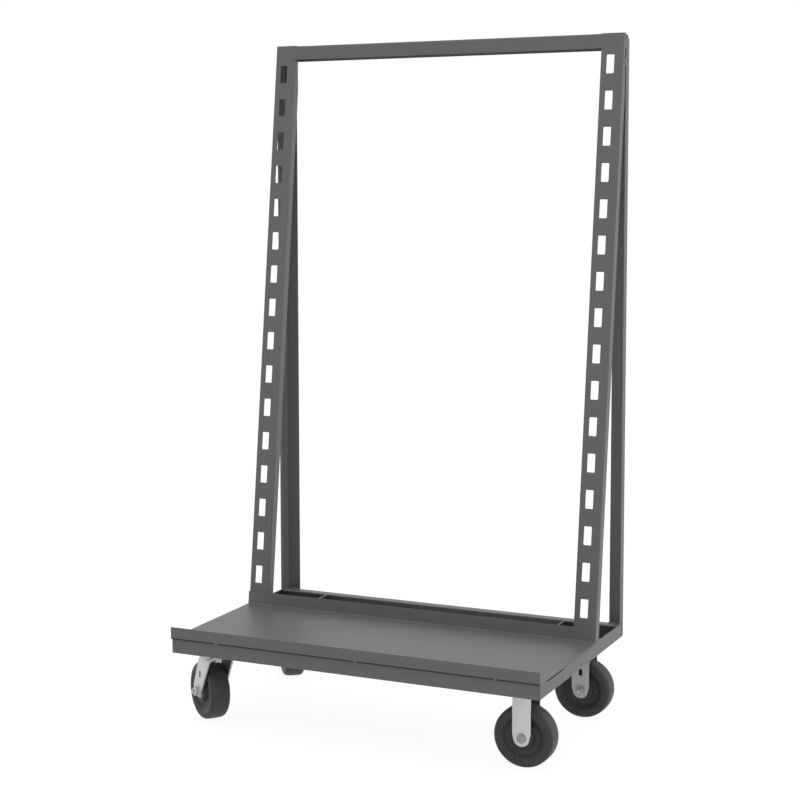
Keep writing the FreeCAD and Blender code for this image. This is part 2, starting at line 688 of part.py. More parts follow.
def kingpin(caster):
    """The pin that the fork turns on, its nut and washer, and the ring of balls."""
    body = new_body(f"{caster.name}_kingpin")
    foot = f"({CROWN_UNDER} - seat_play - kingpin_washer - kingpin_nut - bolt_tail)"
    shape = new_sketch(body, "XY_Plane", "caster_height")
    circle(shape, "0", "0", "kingpin_cap")
    pad(body, shape, "kingpin_head")
    shank = new_sketch(body, "XY_Plane", "caster_height")
    circle(shank, "0", "0", "kingpin_size")
    pad(body, shank, f"caster_height - {foot}", "down")
    top = value("caster_height + kingpin_head")
    round_edges(body, "kingpin_head / 2", lambda c: same(c.z, top))
    caster.place(body, turned=False)

    body = new_body(f"{caster.name}_kingpin_nut")
    collar = f"({CROWN_UNDER} - seat_play - kingpin_washer)"
    ring(body, collar, "kingpin_collar", "kingpin_size + 2 * run_play", "kingpin_washer")
    shape = new_sketch(body, "XY_Plane", collar)
    hexagon(shape, "kingpin_flats")
    circle(shape, "0", "0", "kingpin_size + 2 * run_play")
    pad(body, shape, "kingpin_nut", "down")
    caster.place(body, turned=False)

    ball = doc.addObject("Part::Sphere", "ball")
    bind(ball, "Radius", "ball_size / 2")
    bind(ball, "Placement.Base.x", "ball_pitch / 2")
    bind(ball, "Placement.Base.z", BALL_LEVEL)
    doc.recompute()
    count = round(value("ball_count"))
    axis = V(value(caster.x), value(caster.y), 0)
    turns = [FreeCAD.Rotation(V(0, 0, 1), FULL_TURN * i / count) for i in range(count)]
    balls = [moved(ball.Shape, FreeCAD.Placement(axis, turn)) for turn in turns]
    group(f"{caster.name}_swivel_balls", balls)


def axle_set(caster):
    """The axle bolt and nut, the sleeve clamped between the legs, and the thrust washers."""
    face = LEG_FACE
    bolt = new_body(f"{caster.name}_axle_bolt")
    head = new_sketch(bolt, "XZ_Plane", face)
    hexagon(head, "axle_flats")
    pad(bolt, head, "axle_head")
    shank = new_sketch(bolt, "XZ_Plane", face)
    circle(shank, "0", "0", "axle_size")
    pad(bolt, shank, f"2 * {face} + axle_nut + axle_tail", "down")
    caster.place(bolt, at_wheel=True)

    nut = new_body(f"{caster.name}_axle_nut")
    shape = new_sketch(nut, "XZ_Plane", f"-{face}")
    hexagon(shape, "axle_flats")
    circle(shape, "0", "0", "axle_size + 2 * run_play")
    pad(nut, shape, "axle_nut", "down")
    caster.place(nut, at_wheel=True)

    sleeve = new_body(f"{caster.name}_axle_sleeve")
    shape = new_sketch(sleeve, "XZ_Plane")
    circle(shape, "0", "0", "sleeve_size")
    circle(shape, "0", "0", "axle_size + 2 * run_play")
    pad(sleeve, shape, FORK_GAP, "both")
    caster.place(sleeve, at_wheel=True)

    washer = new_body(f"{caster.name}_thrust_washer_pattern")
    shape = new_sketch(washer, "XZ_Plane", f"{FORK_GAP} / 2")
    circle(shape, "0", "0", "thrust_size")
    circle(shape, "0", "0", "sleeve_size + 2 * run_play")
    pad(washer, shape, "thrust_wall", "down")
    caster.place(washer, at_wheel=True)
    centre = washer.Placement.Base
    half_turn = FreeCAD.Placement(V(0, 0, 0), FreeCAD.Rotation(V(0, 0, 1), FULL_TURN / 2), centre)
    group(f"{caster.name}_thrust_washers", [washer.Shape.copy(), moved(washer.Shape, half_turn)])


def wheel(caster):
    """A hard wheel with a crowned tread, recessed faces and a long hub."""
    body = new_body(f"{caster.name}_wheel")
    shape = new_sketch(body, "YZ_Plane")
    hub, web, rim = "(hub_length / 2)", "(web_wall / 2)", "(wheel_width / 2)"
    bore, boss, recess = "(bearing_size / 2)", "(hub_size / 2)", "(wheel_size / 2 - rim_wall)"
    edge = "(wheel_size / 2 - tread_crown)"
    half = [(hub, bore), (hub, boss), (web, boss), (web, recess), (rim, recess), (rim, edge)]
    spots = half + [(f"-{y}", r) for y, r in half[::-1]]
    points = [V(value(y), value(r), 0) for y, r in spots]
    last, first = len(half) - 1, len(half)
    lines = {}
    for i, point in enumerate(points):
        if i != last:
            lines[i] = sketch_line(shape, point, points[(i + 1) % len(points)], spots[i])
    crest = V(0, value("wheel_size / 2"), 0)
    arc = shape.addGeometry(Part.Arc(points[last], crest, points[first]))
    near, far = arc_ends(shape, arc, points[last])
    pin(shape, arc, near, *spots[last])
    limit(shape, "Radius", f"({rim} * {rim} + tread_crown * tread_crown) / (2 * tread_crown)", arc)
    join(shape, lines[last - 1], FINISH, arc, near)
    join(shape, arc, far, lines[first], START)
    for i in lines:
        following = (i + 1) % len(points)
        if following in lines:
            join(shape, lines[i], FINISH, lines[following], START)
    revolve(body, shape)
    round_circles(body, "tread_round", rim, edge)
    round_circles(body, "recess_round", rim, recess)
    round_circles(body, "face_round", hub, boss)
    caster.place(body, at_wheel=True)


def round_circles(body, radius, offset, reach):
    """Fillet the pair of circular edges at an offset along the wheel's axis and a distance from it."""
    tip = body.Tip
    along, out = value(offset), value(reach)
    names = []
    for i, edge in enumerate(tip.Shape.Edges):
        curve = edge.Curve
        if isinstance(curve, Part.Circle) and same(curve.Radius, out) and same(abs(curve.Center.y), along):
            names.append(f"Edge{i + 1}")
    feature = body.newObject("PartDesign::Fillet", "rounding")
    feature.Base = (tip, names)
    bind(feature, "Radius", radius)
    doc.recompute()


def roller_bearing(caster):
    """Rollers in a slotted cage, between the sleeve and the hub's bore."""
    cage = new_body(f"{caster.name}_roller_cage_pattern")
    ring_size = f"(2 * {ROLLER_RING})"
    shape = new_sketch(cage, "XZ_Plane")
    circle(shape, "0", "0", f"{ring_size} + cage_wall")
    circle(shape, "0", "0", f"{ring_size} - cage_wall")
    pad(cage, shape, CAGE_LENGTH, "both")
    opening = new_sketch(cage, "XY_Plane")
    half_length, half_width = f"({CAGE_LENGTH} / 2 - cage_rim)", f"({ROLLER_SIZE} / 2 + run_play)"
    box(opening, f"-{half_width}", half_width, f"-{half_length}", half_length)
    cut = pocket(cage, opening, "bearing_size", "up")
    openings = cage.newObject("PartDesign::PolarPattern", "openings")
    openings.Originals = [cut]
    openings.Axis = (origin_feature(cage, "Y_Axis"), [""])
    openings.Angle = FULL_TURN
    bind(openings, "Occurrences", "roller_count")
    cage.Tip = openings
    caster.place(cage, at_wheel=True)

    roller = doc.addObject("Part::Cylinder", f"{caster.name}_roller_pattern")
    bind(roller, "Radius", f"{ROLLER_SIZE} / 2")
    bind(roller, "Height", f"2 * ({half_length} - run_play)")
    doc.recompute()
    lie_along = FreeCAD.Rotation(V(1, 0, 0), FULL_TURN / 4)
    start = FreeCAD.Placement(V(0, roller.Height.Value / 2, value(ROLLER_RING)), lie_along)
    count = round(value("roller_count"))
    solids = [cage.Shape.copy()]
    for i in range(count):
        turn = FreeCAD.Placement(V(0, 0, 0), FreeCAD.Rotation(V(0, 1, 0), FULL_TURN * i / count))
        solids.append(moved(roller.Shape, cage.Placement.multiply(turn).multiply(start)))
    group(f"{caster.name}_roller_bearing", solids)


def caster_fasteners():
    """Four bolts, lock washers and nuts at each caster, heads down."""
    bolt = new_body("caster_bolt_pattern")
    head = new_sketch(bolt, "XY_Plane", PLATE_UNDER)
    hexagon(head, "bolt_flats")
    pad(bolt, head, "bolt_head", "down")
    shank = new_sketch(bolt, "XY_Plane", PLATE_UNDER)
    circle(shank, "0", "0", "bolt_size")
    pad(bolt, shank, "plate_wall + steel + washer_wall + bolt_nut + bolt_tail")

    washer = new_body("caster_lock_washer_pattern")
    ring(washer, RAIL_FLOOR, "washer_size", "bolt_size + 2 * run_play", "washer_wall")

    nut = new_body("caster_nut_pattern")
    shape = new_sketch(nut, "XY_Plane", f"({RAIL_FLOOR} + washer_wall)")
    hexagon(shape, "bolt_flats")
    circle(shape, "0", "0", "bolt_size + 2 * run_play")
    pad(nut, shape, "bolt_nut")

    spots = []
    for caster in CASTERS:
        for i in (-1, 1):
            for j in (-1, 1):
                x, y = f"{caster.x} + {i} * bolt_span / 2", f"{caster.y} + {j} * bolt_reach / 2"
                spots.append(FreeCAD.Placement(V(value(x), value(y), 0), FreeCAD.Rotation()))
    for label, pattern in (("caster_bolts", bolt), ("caster_lock_washers", washer), ("caster_nuts", nut)):
        group(label, [moved(pattern.Shape, spot) for spot in spots])


def check_and_write():
    """Stop at a failed object or a bad shape, then write one file for each piece."""
    doc.recompute()
    failed = [item.Label for item in doc.Objects if {"Invalid", "Error"} & set(item.State)]
    pieces = [item for item in doc.Objects if item.isDerivedFrom("Part::Feature") and is_piece(item)]
    bad = [item.Label for item in pieces if item.Shape.isNull() or not item.Shape.isValid()]
    if failed or bad:
        raise ValueError(f"failed objects {failed}, bad shapes {bad}")
    os.makedirs("parts", exist_ok=True)
    for item in pieces:
        item.Shape.exportStep(f"parts/{item.Label}.step")
    print(f"{len(pieces)} pieces written")


def is_piece(item):
    """Whether an object is a piece of the truck: a body or a group, not a feature or a pattern."""
    whole = item.TypeId in ("PartDesign::Body", "Part::Feature")
    return whole and not item.Label.endswith("_pattern")


base_rails()
rear_frame()
top_front_rail()
for side_name, side_sign in SIDES.items():
    slotted_post(f"{side_name}_slotted_post", side_sign)
base_tray()
for one in CASTERS:
    caster_plate(one)
    fork(one)
    if one.swivels:
        kingpin(one)
    axle_set(one)
    wheel(one)
    roller_bearing(one)
caster_fasteners()
check_and_write()
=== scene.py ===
# %% [markdown]
# # An adjustable tray truck, dressed in Blender
#
# The truck is a welded base of formed angles on four casters, a bent tray on top of it, a tall rear
# frame, and two slotted posts that lean back against that frame. Its solids come ready-made from
# the CAD model, at real size and in metres. This lesson gives them their finishes, and adds what a
# solid model leaves out: weld beads, chamfered fasteners, thread, and wheels with moulded detail.

# %% Load the fixed frame
import json
import math

import bmesh
import bpy
from mathutils import Matrix, Vector


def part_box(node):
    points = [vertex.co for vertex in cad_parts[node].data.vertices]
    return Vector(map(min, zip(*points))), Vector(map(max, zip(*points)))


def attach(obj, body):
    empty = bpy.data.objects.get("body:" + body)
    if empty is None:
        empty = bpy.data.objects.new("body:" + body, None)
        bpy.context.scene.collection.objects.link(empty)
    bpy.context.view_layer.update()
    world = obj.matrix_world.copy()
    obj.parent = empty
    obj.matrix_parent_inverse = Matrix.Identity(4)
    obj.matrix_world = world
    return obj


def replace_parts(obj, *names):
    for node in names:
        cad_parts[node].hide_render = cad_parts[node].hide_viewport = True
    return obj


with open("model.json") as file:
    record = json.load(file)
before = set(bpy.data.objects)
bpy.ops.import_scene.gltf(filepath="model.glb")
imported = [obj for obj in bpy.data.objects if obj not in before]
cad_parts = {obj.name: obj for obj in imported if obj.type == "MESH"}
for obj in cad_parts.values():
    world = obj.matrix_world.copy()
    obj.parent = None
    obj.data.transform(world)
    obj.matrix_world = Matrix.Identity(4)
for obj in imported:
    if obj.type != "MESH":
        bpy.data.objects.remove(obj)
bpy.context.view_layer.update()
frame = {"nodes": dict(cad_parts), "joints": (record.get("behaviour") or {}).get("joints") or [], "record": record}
nodes = frame["nodes"]
MM = 0.001

# %% [markdown]
# ## The camera
#
# The photograph was taken from the truck's right front, a little above the posts' middle, with a
# long lens. Its place and its focal length were fitted to the edges of the base and the posts. The
# picture is cut out of a larger one, so the lens's axis isn't at the middle of the frame: the
# camera's shift makes up for that, which keeps the perspective true.

# %% Place the camera
IMAGE_WIDTH = 800
FOCAL_PIXELS = 1848.6
AXIS_PIXEL = Vector((276.4, 352.8))
SENSOR_WIDTH = 36  # millimetres
CAMERA_PLACE = Vector((1.7353, -4.0016, 1.3329))
CAMERA_TURN, CAMERA_DIP, CAMERA_ROLL = 0.4766, 0.1015, -0.0081  # radians

ahead = Vector((-math.sin(CAMERA_TURN) * math.cos(CAMERA_DIP),
                math.cos(CAMERA_TURN) * math.cos(CAMERA_DIP),
                -math.sin(CAMERA_DIP)))
level = Vector((math.cos(CAMERA_TURN), math.sin(CAMERA_TURN), 0))
above = level.cross(ahead)
right = level * math.cos(CAMERA_ROLL) + above * math.sin(CAMERA_ROLL)
up = above * math.cos(CAMERA_ROLL) - level * math.sin(CAMERA_ROLL)

camera_data = bpy.data.cameras.new("camera")
camera_data.sensor_width = SENSOR_WIDTH
camera_data.lens = SENSOR_WIDTH * FOCAL_PIXELS / IMAGE_WIDTH
camera_data.shift_x = 0.5 - AXIS_PIXEL.x / IMAGE_WIDTH
camera_data.shift_y = AXIS_PIXEL.y / IMAGE_WIDTH - 0.5
camera = bpy.data.objects.new("camera", camera_data)
turn = Matrix((right, up, -ahead)).transposed().to_4x4()
camera.matrix_world = Matrix.Translation(CAMERA_PLACE) @ turn
scene = bpy.context.scene
scene.collection.objects.link(camera)
scene.camera = camera
print(f"lens {camera_data.lens:.1f} mm, "
      f"shift {camera_data.shift_x:.3f}, {camera_data.shift_y:.3f}")

# %% [markdown]
# ## The white surroundings
#
# The photograph's background is plain white. Lighting the floor until it burns out would also wash
# out the paint, so the world and the floor only look white: a Light Path node tells apart the rays
# that show the background, camera and mirror rays among them. These see a white of strength 1, and
# the truck is lit by less. The short helpers build this node tree and those of all the finishes.

# %% World
def node_tree(owner):
    """The node tree of a world or a material, emptied."""
    owner.use_nodes = True
    owner.node_tree.nodes.clear()
    return owner.node_tree


def add(tree, kind, **values):
    """One node; keywords set its properties, or its inputs where it has no such property."""
    node = tree.nodes.new(kind)
    for key, value in values.items():
        if hasattr(node, key):
            setattr(node, key, value)
        else:
            node.inputs[key.replace("_", " ")].default_value = value
    return node


def reckon(tree, operation, *values):
    """A math node on outputs and plain numbers."""
    node = add(tree, "ShaderNodeMath", operation=operation)
    for socket, value in zip(node.inputs, values):
        if isinstance(value, float):
            socket.default_value = value
        else:
            tree.links.new(value, socket)
    return node.outputs[0]


def grey(value):
    """An opaque grey."""
    return (value, value, value, 1)


def plain_look_rays(tree):
    """1 for rays that show the background itself: camera, mirror and glass rays."""
    path = add(tree, "ShaderNodeLightPath").outputs
    seen = reckon(tree, "MAXIMUM", path["Is Camera Ray"], path["Is Glossy Ray"])
    return reckon(tree, "MAXIMUM", seen, path["Is Transmission Ray"])


AMBIENT = 0.74
world = bpy.data.worlds.new("studio")
scene.world = world
tree = node_tree(world)
strength = add(tree, "ShaderNodeMapRange", To_Min=AMBIENT, To_Max=1)
tree.links.new(plain_look_rays(tree), strength.inputs["Value"])
sky = add(tree, "ShaderNodeBackground", Color=grey(1))
tree.links.new(strength.outputs[0], sky.inputs["Strength"])
tree.links.new(sky.outputs[0], add(tree, "ShaderNodeOutputWorld").inputs["Surface"])
print(f"world looks white, and lights with {AMBIENT}")

# %% [markdown]
# ## The floor
#
# Soft light bounces off an ordinary pale floor. What the camera sees of it is mostly an even glow,
# to which a small share of real shading is added, and that share is the truck's shadow.

# %% Floor
FLOOR_REACH = 40
FLOOR_ALBEDO = 0.8
SHADOW_SHARE = 0.13
WHITE_GLOW = 0.92
floor_paint = bpy.data.materials.new("studio_floor")
tree = node_tree(floor_paint)
bounce = add(tree, "ShaderNodeBsdfDiffuse", Color=grey(FLOOR_ALBEDO))
shade = add(tree, "ShaderNodeBsdfDiffuse", Color=grey(SHADOW_SHARE))
glow = add(tree, "ShaderNodeEmission", Color=grey(1), Strength=WHITE_GLOW)
white = add(tree, "ShaderNodeAddShader")
tree.links.new(shade.outputs[0], white.inputs[0])
tree.links.new(glow.outputs[0], white.inputs[1])
choice = add(tree, "ShaderNodeMixShader")
tree.links.new(plain_look_rays(tree), choice.inputs["Fac"])
tree.links.new(bounce.outputs[0], choice.inputs[1])
tree.links.new(white.outputs[0], choice.inputs[2])
tree.links.new(choice.outputs[0], add(tree, "ShaderNodeOutputMaterial").inputs["Surface"])

floor_mesh = bpy.data.meshes.new("floor")
bm = bmesh.new()
bmesh.ops.create_grid(bm, x_segments=1, y_segments=1, size=FLOOR_REACH / 2)
bm.to_mesh(floor_mesh)
bm.free()
floor = bpy.data.objects.new("floor", floor_mesh)
floor_mesh.materials.append(floor_paint)
scene.collection.objects.link(floor)
print(f"floor of {FLOOR_REACH} m ready")

# %% [markdown]
# ## Soft light
#
# In the photograph the tray and everything that faces right are bright, fronts are darker, and what
# faces left is darkest. Most of that light comes evenly from the white surroundings, so the world
# gives it. One large soft lamp hangs overhead, another stands at the right, and a weak one at the
# left. Their strengths were found by rendering each alone and fitting the sum to the photograph.

# %% Lamps
def soft_lamp(name, place, aim, width, height, power):
    """A rectangular area lamp that looks at a point."""
    data = bpy.data.lights.new(name, "AREA")
    data.shape = "RECTANGLE"
    data.size, data.size_y = width, height
    data.energy = power
    lamp = bpy.data.objects.new(name, data)
    lamp.location = place
    lamp.rotation_euler = (Vector(aim) - Vector(place)).to_track_quat("-Z", "Y").to_euler()
    lamp.visible_camera = False
    lamp.visible_glossy = False
    scene.collection.objects.link(lamp)
    print(f"lamp {name}: {power} W")


MIDDLE = (0, 0, 0.7)
soft_lamp("overhead", place=(0.2, -0.4, 4.2), aim=(0.1, -0.1, 0.2), width=4.0, height=3.2, power=58)
soft_lamp("right_side", place=(4.2, -0.6, 1.7), aim=MIDDLE, width=2.6, height=3.0, power=31)
soft_lamp("left_side", place=(-4.2, -1.6, 1.7), aim=MIDDLE, width=2.6, height=3.0, power=13)

# %% [markdown]
# ## Effects that several finishes share
#
# Powder coat is sprayed as dry powder and baked, so it has a faint orange peel. Mouldings and
# plated steel have a grain of their own too, only coarser or finer. One node group makes them all:
# a fine height for the bump, and a slow drift of tone. It gives out values only; the shader stays
# in each material, where the export can read it.

# %% Orange peel
def new_group(name, inputs, outputs):
    """A shader node group with named number sockets."""
    group = bpy.data.node_groups.new(name, "ShaderNodeTree")
    for label, value in inputs.items():
        socket = group.interface.new_socket(label, in_out="INPUT", socket_type="NodeSocketFloat")
        socket.default_value = value
    for label in outputs:
        group.interface.new_socket(label, in_out="OUTPUT", socket_type="NodeSocketFloat")
    return group, add(group, "NodeGroupInput"), add(group, "NodeGroupOutput")


peel_group, entry, leave = new_group("orange_peel", inputs={"Peel Scale": 900, "Drift Scale": 4},
                                     outputs=["Height", "Drift"])
place = add(peel_group, "ShaderNodeTexCoord")
for scale, detail, output in (("Peel Scale", 2, "Height"), ("Drift Scale", 3, "Drift")):
    noise = add(peel_group, "ShaderNodeTexNoise", Detail=detail)
    peel_group.links.new(place.outputs["Object"], noise.inputs["Vector"])
    peel_group.links.new(entry.outputs[scale], noise.inputs["Scale"])
    peel_group.links.new(noise.outputs["Fac"], leave.inputs[output])
print("group orange_peel ready")

# %% [markdown]
# Plated steel has rolled sheet underneath: fine streaks along the sheet, which stand upright on the
# caster forks. Noise has no direction of its own, so its coordinates are shrunk in height, which
# draws its grains out into upright streaks. The same noise, not drawn out, breaks up the sheen of
# the turned steel.

# %% Rolled streaks
streak_group, entry, leave = new_group("rolled_streaks", inputs={"Scale": 400, "Stretch": 0.06},
                                       outputs=["Streaks"])
place = add(streak_group, "ShaderNodeTexCoord")
shape = add(streak_group, "ShaderNodeCombineXYZ", X=1.0, Y=1.0)
streak_group.links.new(entry.outputs["Stretch"], shape.inputs["Z"])
squeeze = add(streak_group, "ShaderNodeVectorMath", operation="MULTIPLY")
streak_group.links.new(place.outputs["Object"], squeeze.inputs[0])
streak_group.links.new(shape.outputs[0], squeeze.inputs[1])
noise = add(streak_group, "ShaderNodeTexNoise", Detail=3)
streak_group.links.new(squeeze.outputs[0], noise.inputs["Vector"])
streak_group.links.new(entry.outputs["Scale"], noise.inputs["Scale"])
streak_group.links.new(noise.outputs["Fac"], leave.inputs["Streaks"])
print("group rolled_streaks ready")

# %% [markdown]
# ## What a finish is made of
#
# Each finish is one Principled shader, and noise varies its colour, its roughness and its bump. A
# plain value is set on the shader's own socket, and only what changes over the surface is linked.
# Nearly all of a noise lies between 0.3 and 0.7, so that range is spread over the wanted one.

# %% Helpers for finishes
NOISE_LOW, NOISE_HIGH = 0.3, 0.7
MIX_FACTOR, MIX_FIRST, MIX_SECOND, MIX_RESULT = 0, 6, 7, 2  # a Mix node's colour sockets


def new_material(name, **values):
    """A material with one Principled shader, whose plain values are set on its own sockets."""
    material = bpy.data.materials.new(name)
    tree = node_tree(material)
    shader = add(tree, "ShaderNodeBsdfPrincipled", **values)
    tree.links.new(shader.outputs[0], add(tree, "ShaderNodeOutputMaterial").inputs["Surface"])
    return material, tree, shader


def effect(tree, group, **values):
    """The outputs of a shared effect, placed in a material with its own values."""
    return add(tree, "ShaderNodeGroup", node_tree=group, **values).outputs


def tone(tree, value, dark, light, low=NOISE_LOW, high=NOISE_HIGH):
    """A colour between a dark and a light one, as a value goes from low to high."""
    ramp = add(tree, "ShaderNodeValToRGB")
    for stop, position, colour in zip(ramp.color_ramp.elements, (low, high), (dark, light)):
        stop.position, stop.color = position, (*colour, 1)
    tree.links.new(value, ramp.inputs["Fac"])
    return ramp.outputs["Color"]


def paint_light_or_shade(tree, colour, mask, value):
    """A colour that turns to another grey where a mask is 1: painted shade or painted light."""
    node = add(tree, "ShaderNodeMix", data_type="RGBA")
    tree.links.new(mask, node.inputs[MIX_FACTOR])
    tree.links.new(colour, node.inputs[MIX_FIRST])
    node.inputs[MIX_SECOND].default_value = grey(value)
    return node.outputs[MIX_RESULT]


def cover(tree, shader, colour, grain, roughness):
    """Give a shader its colour, and a roughness that goes from low to high with a noise."""
    node = add(tree, "ShaderNodeMapRange", From_Min=NOISE_LOW, From_Max=NOISE_HIGH,
               To_Min=roughness[0], To_Max=roughness[1])
    tree.links.new(grain, node.inputs["Value"])
    tree.links.new(node.outputs[0], shader.inputs["Roughness"])
    tree.links.new(colour, shader.inputs["Base Color"])


def bump(tree, shader, height, distance):
    """Raise a surface by a height, of which 1 is a distance in millimetres."""
    node = add(tree, "ShaderNodeBump", Strength=1.0, Distance=distance * MM)
    tree.links.new(height, node.inputs["Height"])
    tree.links.new(node.outputs["Normal"], shader.inputs["Normal"])


print("helpers for finishes ready")

# %% [markdown]
# ## Grey powder coat
#
# The frame, the tray and the posts are welded first and coated together, so one paint covers them,
# welds too. It is a satin medium grey: rough enough to blur what it mirrors, smooth enough that the
# tray brightens towards its front, where it mirrors the white surroundings at a flatter angle.

# %% Paint
def powder_coat(name, mask=None, value=None):
    """The grey paint; a function that makes a mask can turn part of it to another grey, as painted shade or
    painted light.
    """
    material, tree, shader = new_material(name, Specular_IOR_Level=0.45)
    peel = effect(tree, peel_group, Peel_Scale=900, Drift_Scale=3)
    colour = tone(tree, peel["Drift"], dark=(0.101, 0.1015, 0.103), light=(0.109, 0.1095, 0.111))
    if mask:
        colour = paint_light_or_shade(tree, colour, mask(tree), value)
    cover(tree, shader, colour, peel["Drift"], roughness=(0.43, 0.47))
    bump(tree, shader, peel["Height"], distance=0.06)
    return material


paint = powder_coat("grey_powder_coat")
print(f"finish {paint.name} ready")

# %% [markdown]
# The base is a box that is open only behind the tray, so its inside lies in deep shade, nearly black below the
# rails' upper edges. That shade is painted into the paint's colour there as a near-black grey. The corner inside a
# rear upright's angle gets painted light instead, a paler grey, where its shade would otherwise come out too dark.
# The pieces' own coordinates tell these faces from the outer ones, so two more finishes change only those.

# %% Painted shade in the base and painted light in the uprights' corners
INSIDE_WIDTH, INSIDE_DEPTH, INSIDE_HEIGHT = 0.456, 0.2622, 0.2149  # limits of the base's inside
CORNER_WIDTH, CORNER_DEPTH, CORNER_REACH = 0.4545, 0.3021, 0.024  # an upright's inner faces
# painted shade inside the base, and painted light in the uprights' inner corners
INSIDE_SHADE_GREY, CORNER_LIGHT_GREY = 0.03, 0.165


def own_place(tree):
    """A piece's own coordinates: distance from the truck's middle plane, Y and Z."""
    place = add(tree, "ShaderNodeTexCoord")
    axes = add(tree, "ShaderNodeSeparateXYZ")
    tree.links.new(place.outputs["Object"], axes.inputs[0])
    return reckon(tree, "ABSOLUTE", axes.outputs["X"]), axes.outputs["Y"], axes.outputs["Z"]


def under(tree, *limits):
    """1 where every value, given with its limit, is under it."""
    tests = [reckon(tree, "LESS_THAN", value, limit) for value, limit in limits]
    result = tests[0]
    for test in tests[1:]:
        result = reckon(tree, "MULTIPLY", result, test)
    return result


def base_shade_mask(tree):
    """1 below the rails' upper edges and inside their outer faces, where shade is painted."""
    width, depth, height = own_place(tree)
    return under(tree, (width, INSIDE_WIDTH), (depth, INSIDE_DEPTH), (height, INSIDE_HEIGHT))


def corner_light_mask(tree):
    """1 in the corner inside an upright's angle, fading to 0 along both legs, where light is painted."""
    width, depth, _ = own_place(tree)
    inside = under(tree, (width, CORNER_WIDTH + MM), (depth, CORNER_DEPTH + MM))
    reach = reckon(tree, "ADD", width, depth)
    gap = reckon(tree, "SUBTRACT", CORNER_WIDTH + CORNER_DEPTH, reach)
    fade = add(tree, "ShaderNodeMapRange", From_Max=CORNER_REACH, To_Min=1, To_Max=0)
    tree.links.new(gap, fade.inputs["Value"])
    return reckon(tree, "MULTIPLY", inside, fade.outputs[0])


# the base's paint carries painted shade, the rear frame's paint carries painted light
base_paint_shaded = powder_coat("grey_powder_coat_painted_shade", base_shade_mask, INSIDE_SHADE_GREY)
frame_paint_lit = powder_coat("grey_powder_coat_painted_light", corner_light_mask, CORNER_LIGHT_GREY)
print(f"finishes {base_paint_shaded.name} and {frame_paint_lit.name} ready")

# %% [markdown]
# ## Zinc plate
#
# The casters are zinc plated: brighter than the paint, streaked, and only half mirror-like, because plating over
# rolled sheet scatters much of the light. The rear pair lies in the shadow under the truck, and that shade is
# painted as a darker copy of the zinc. The forks' inner faces, which a mask on each fork marks, get painted shade
# too: a darker grey.

# %% Zinc
INNER_SHADE_ZINC = 0.13
ZINC_WARMTH = 0.99  # share of blue in the light tone


def zinc_plate(name, dark, light):
    """Zinc on rolled sheet, between a dark and a light tone, with painted shade on a fork's inner faces."""
    material, tree, shader = new_material(name, Metallic=0.55)
    streaks = effect(tree, streak_group, Scale=420, Stretch=0.05)["Streaks"]
    peel = effect(tree, peel_group, Peel_Scale=300, Drift_Scale=30)
    colour = tone(tree, streaks, dark=(dark, dark, dark), light=(light, light, light * ZINC_WARMTH))
    # painted shade on a fork's inner faces, where its inner mask is set
    inner = add(tree, "ShaderNodeAttribute", attribute_name="inner").outputs["Fac"]
    colour = paint_light_or_shade(tree, colour, inner, INNER_SHADE_ZINC)
    cover(tree, shader, colour, peel["Drift"], roughness=(0.42, 0.54))
    bump(tree, shader, peel["Height"], distance=0.03)
    return material


zinc = zinc_plate("bright_zinc", dark=0.555, light=0.61)
# a darker copy: painted shade for the rear casters in the shadow under the truck
shaded_zinc = zinc_plate("shaded_zinc", dark=0.37, light=0.42)
print(f"finishes {zinc.name} and {shaded_zinc.name} ready")

# %% [markdown]
# ## Turned steel, moulded wheels and painted seam shade
#
# The axle bolts and the parts inside the hubs are turned steel, bare and mirror-like, with a fine grain. The
# wheels are a moulded dark plastic whose treads are scuffed paler by the floor, so a tread mask that each wheel
# carries picks the colour. Tight joints lie in shade, and that shade is painted: a near-black, dull grey for the
# strips that fill them.

# %% Steel, wheels and seams
steel, tree, shader = new_material("turned_steel", Metallic=1.0)
grain = effect(tree, streak_group, Scale=300, Stretch=1.0)["Streaks"]
colour = tone(tree, grain, dark=(0.3, 0.3, 0.305), light=(0.42, 0.42, 0.425))
cover(tree, shader, colour, grain, roughness=(0.22, 0.34))

wheel_plastic, tree, shader = new_material("moulded_wheel", Specular_IOR_Level=0.3)
peel = effect(tree, peel_group, Peel_Scale=500, Drift_Scale=40)
worn = add(tree, "ShaderNodeAttribute", attribute_name="tread").outputs["Fac"]
scuffs = reckon(tree, "MULTIPLY", worn, peel["Drift"])
colour = tone(tree, scuffs, dark=(0.042, 0.042, 0.043), light=(0.062, 0.062, 0.062),
              low=0.1, high=0.6)
cover(tree, shader, colour, peel["Drift"], roughness=(0.48, 0.62))
bump(tree, shader, peel["Height"], distance=0.08)

# painted shade: a near-black, dull grey for the strips in the joints
seam_shade, tree, shader = new_material("painted_seam_shade", Specular_IOR_Level=0.2)
drift = effect(tree, peel_group, Peel_Scale=600, Drift_Scale=50)["Drift"]
colour = tone(tree, drift, dark=(0.02, 0.02, 0.02), light=(0.034, 0.033, 0.032))
cover(tree, shader, colour, drift, roughness=(0.7, 0.9))
print(f"finishes {steel.name}, {wheel_plastic.name} and {seam_shade.name} ready")

# %% [markdown]
# ## Finishes on the CAD pieces
#
# Every CAD node has a material slot in the record, and the slot picks its finish. The rails round the well behind
# the tray, and the rear frame, take the two paints made for them: one with painted shade inside the base, one with
# painted light in the uprights' corners.

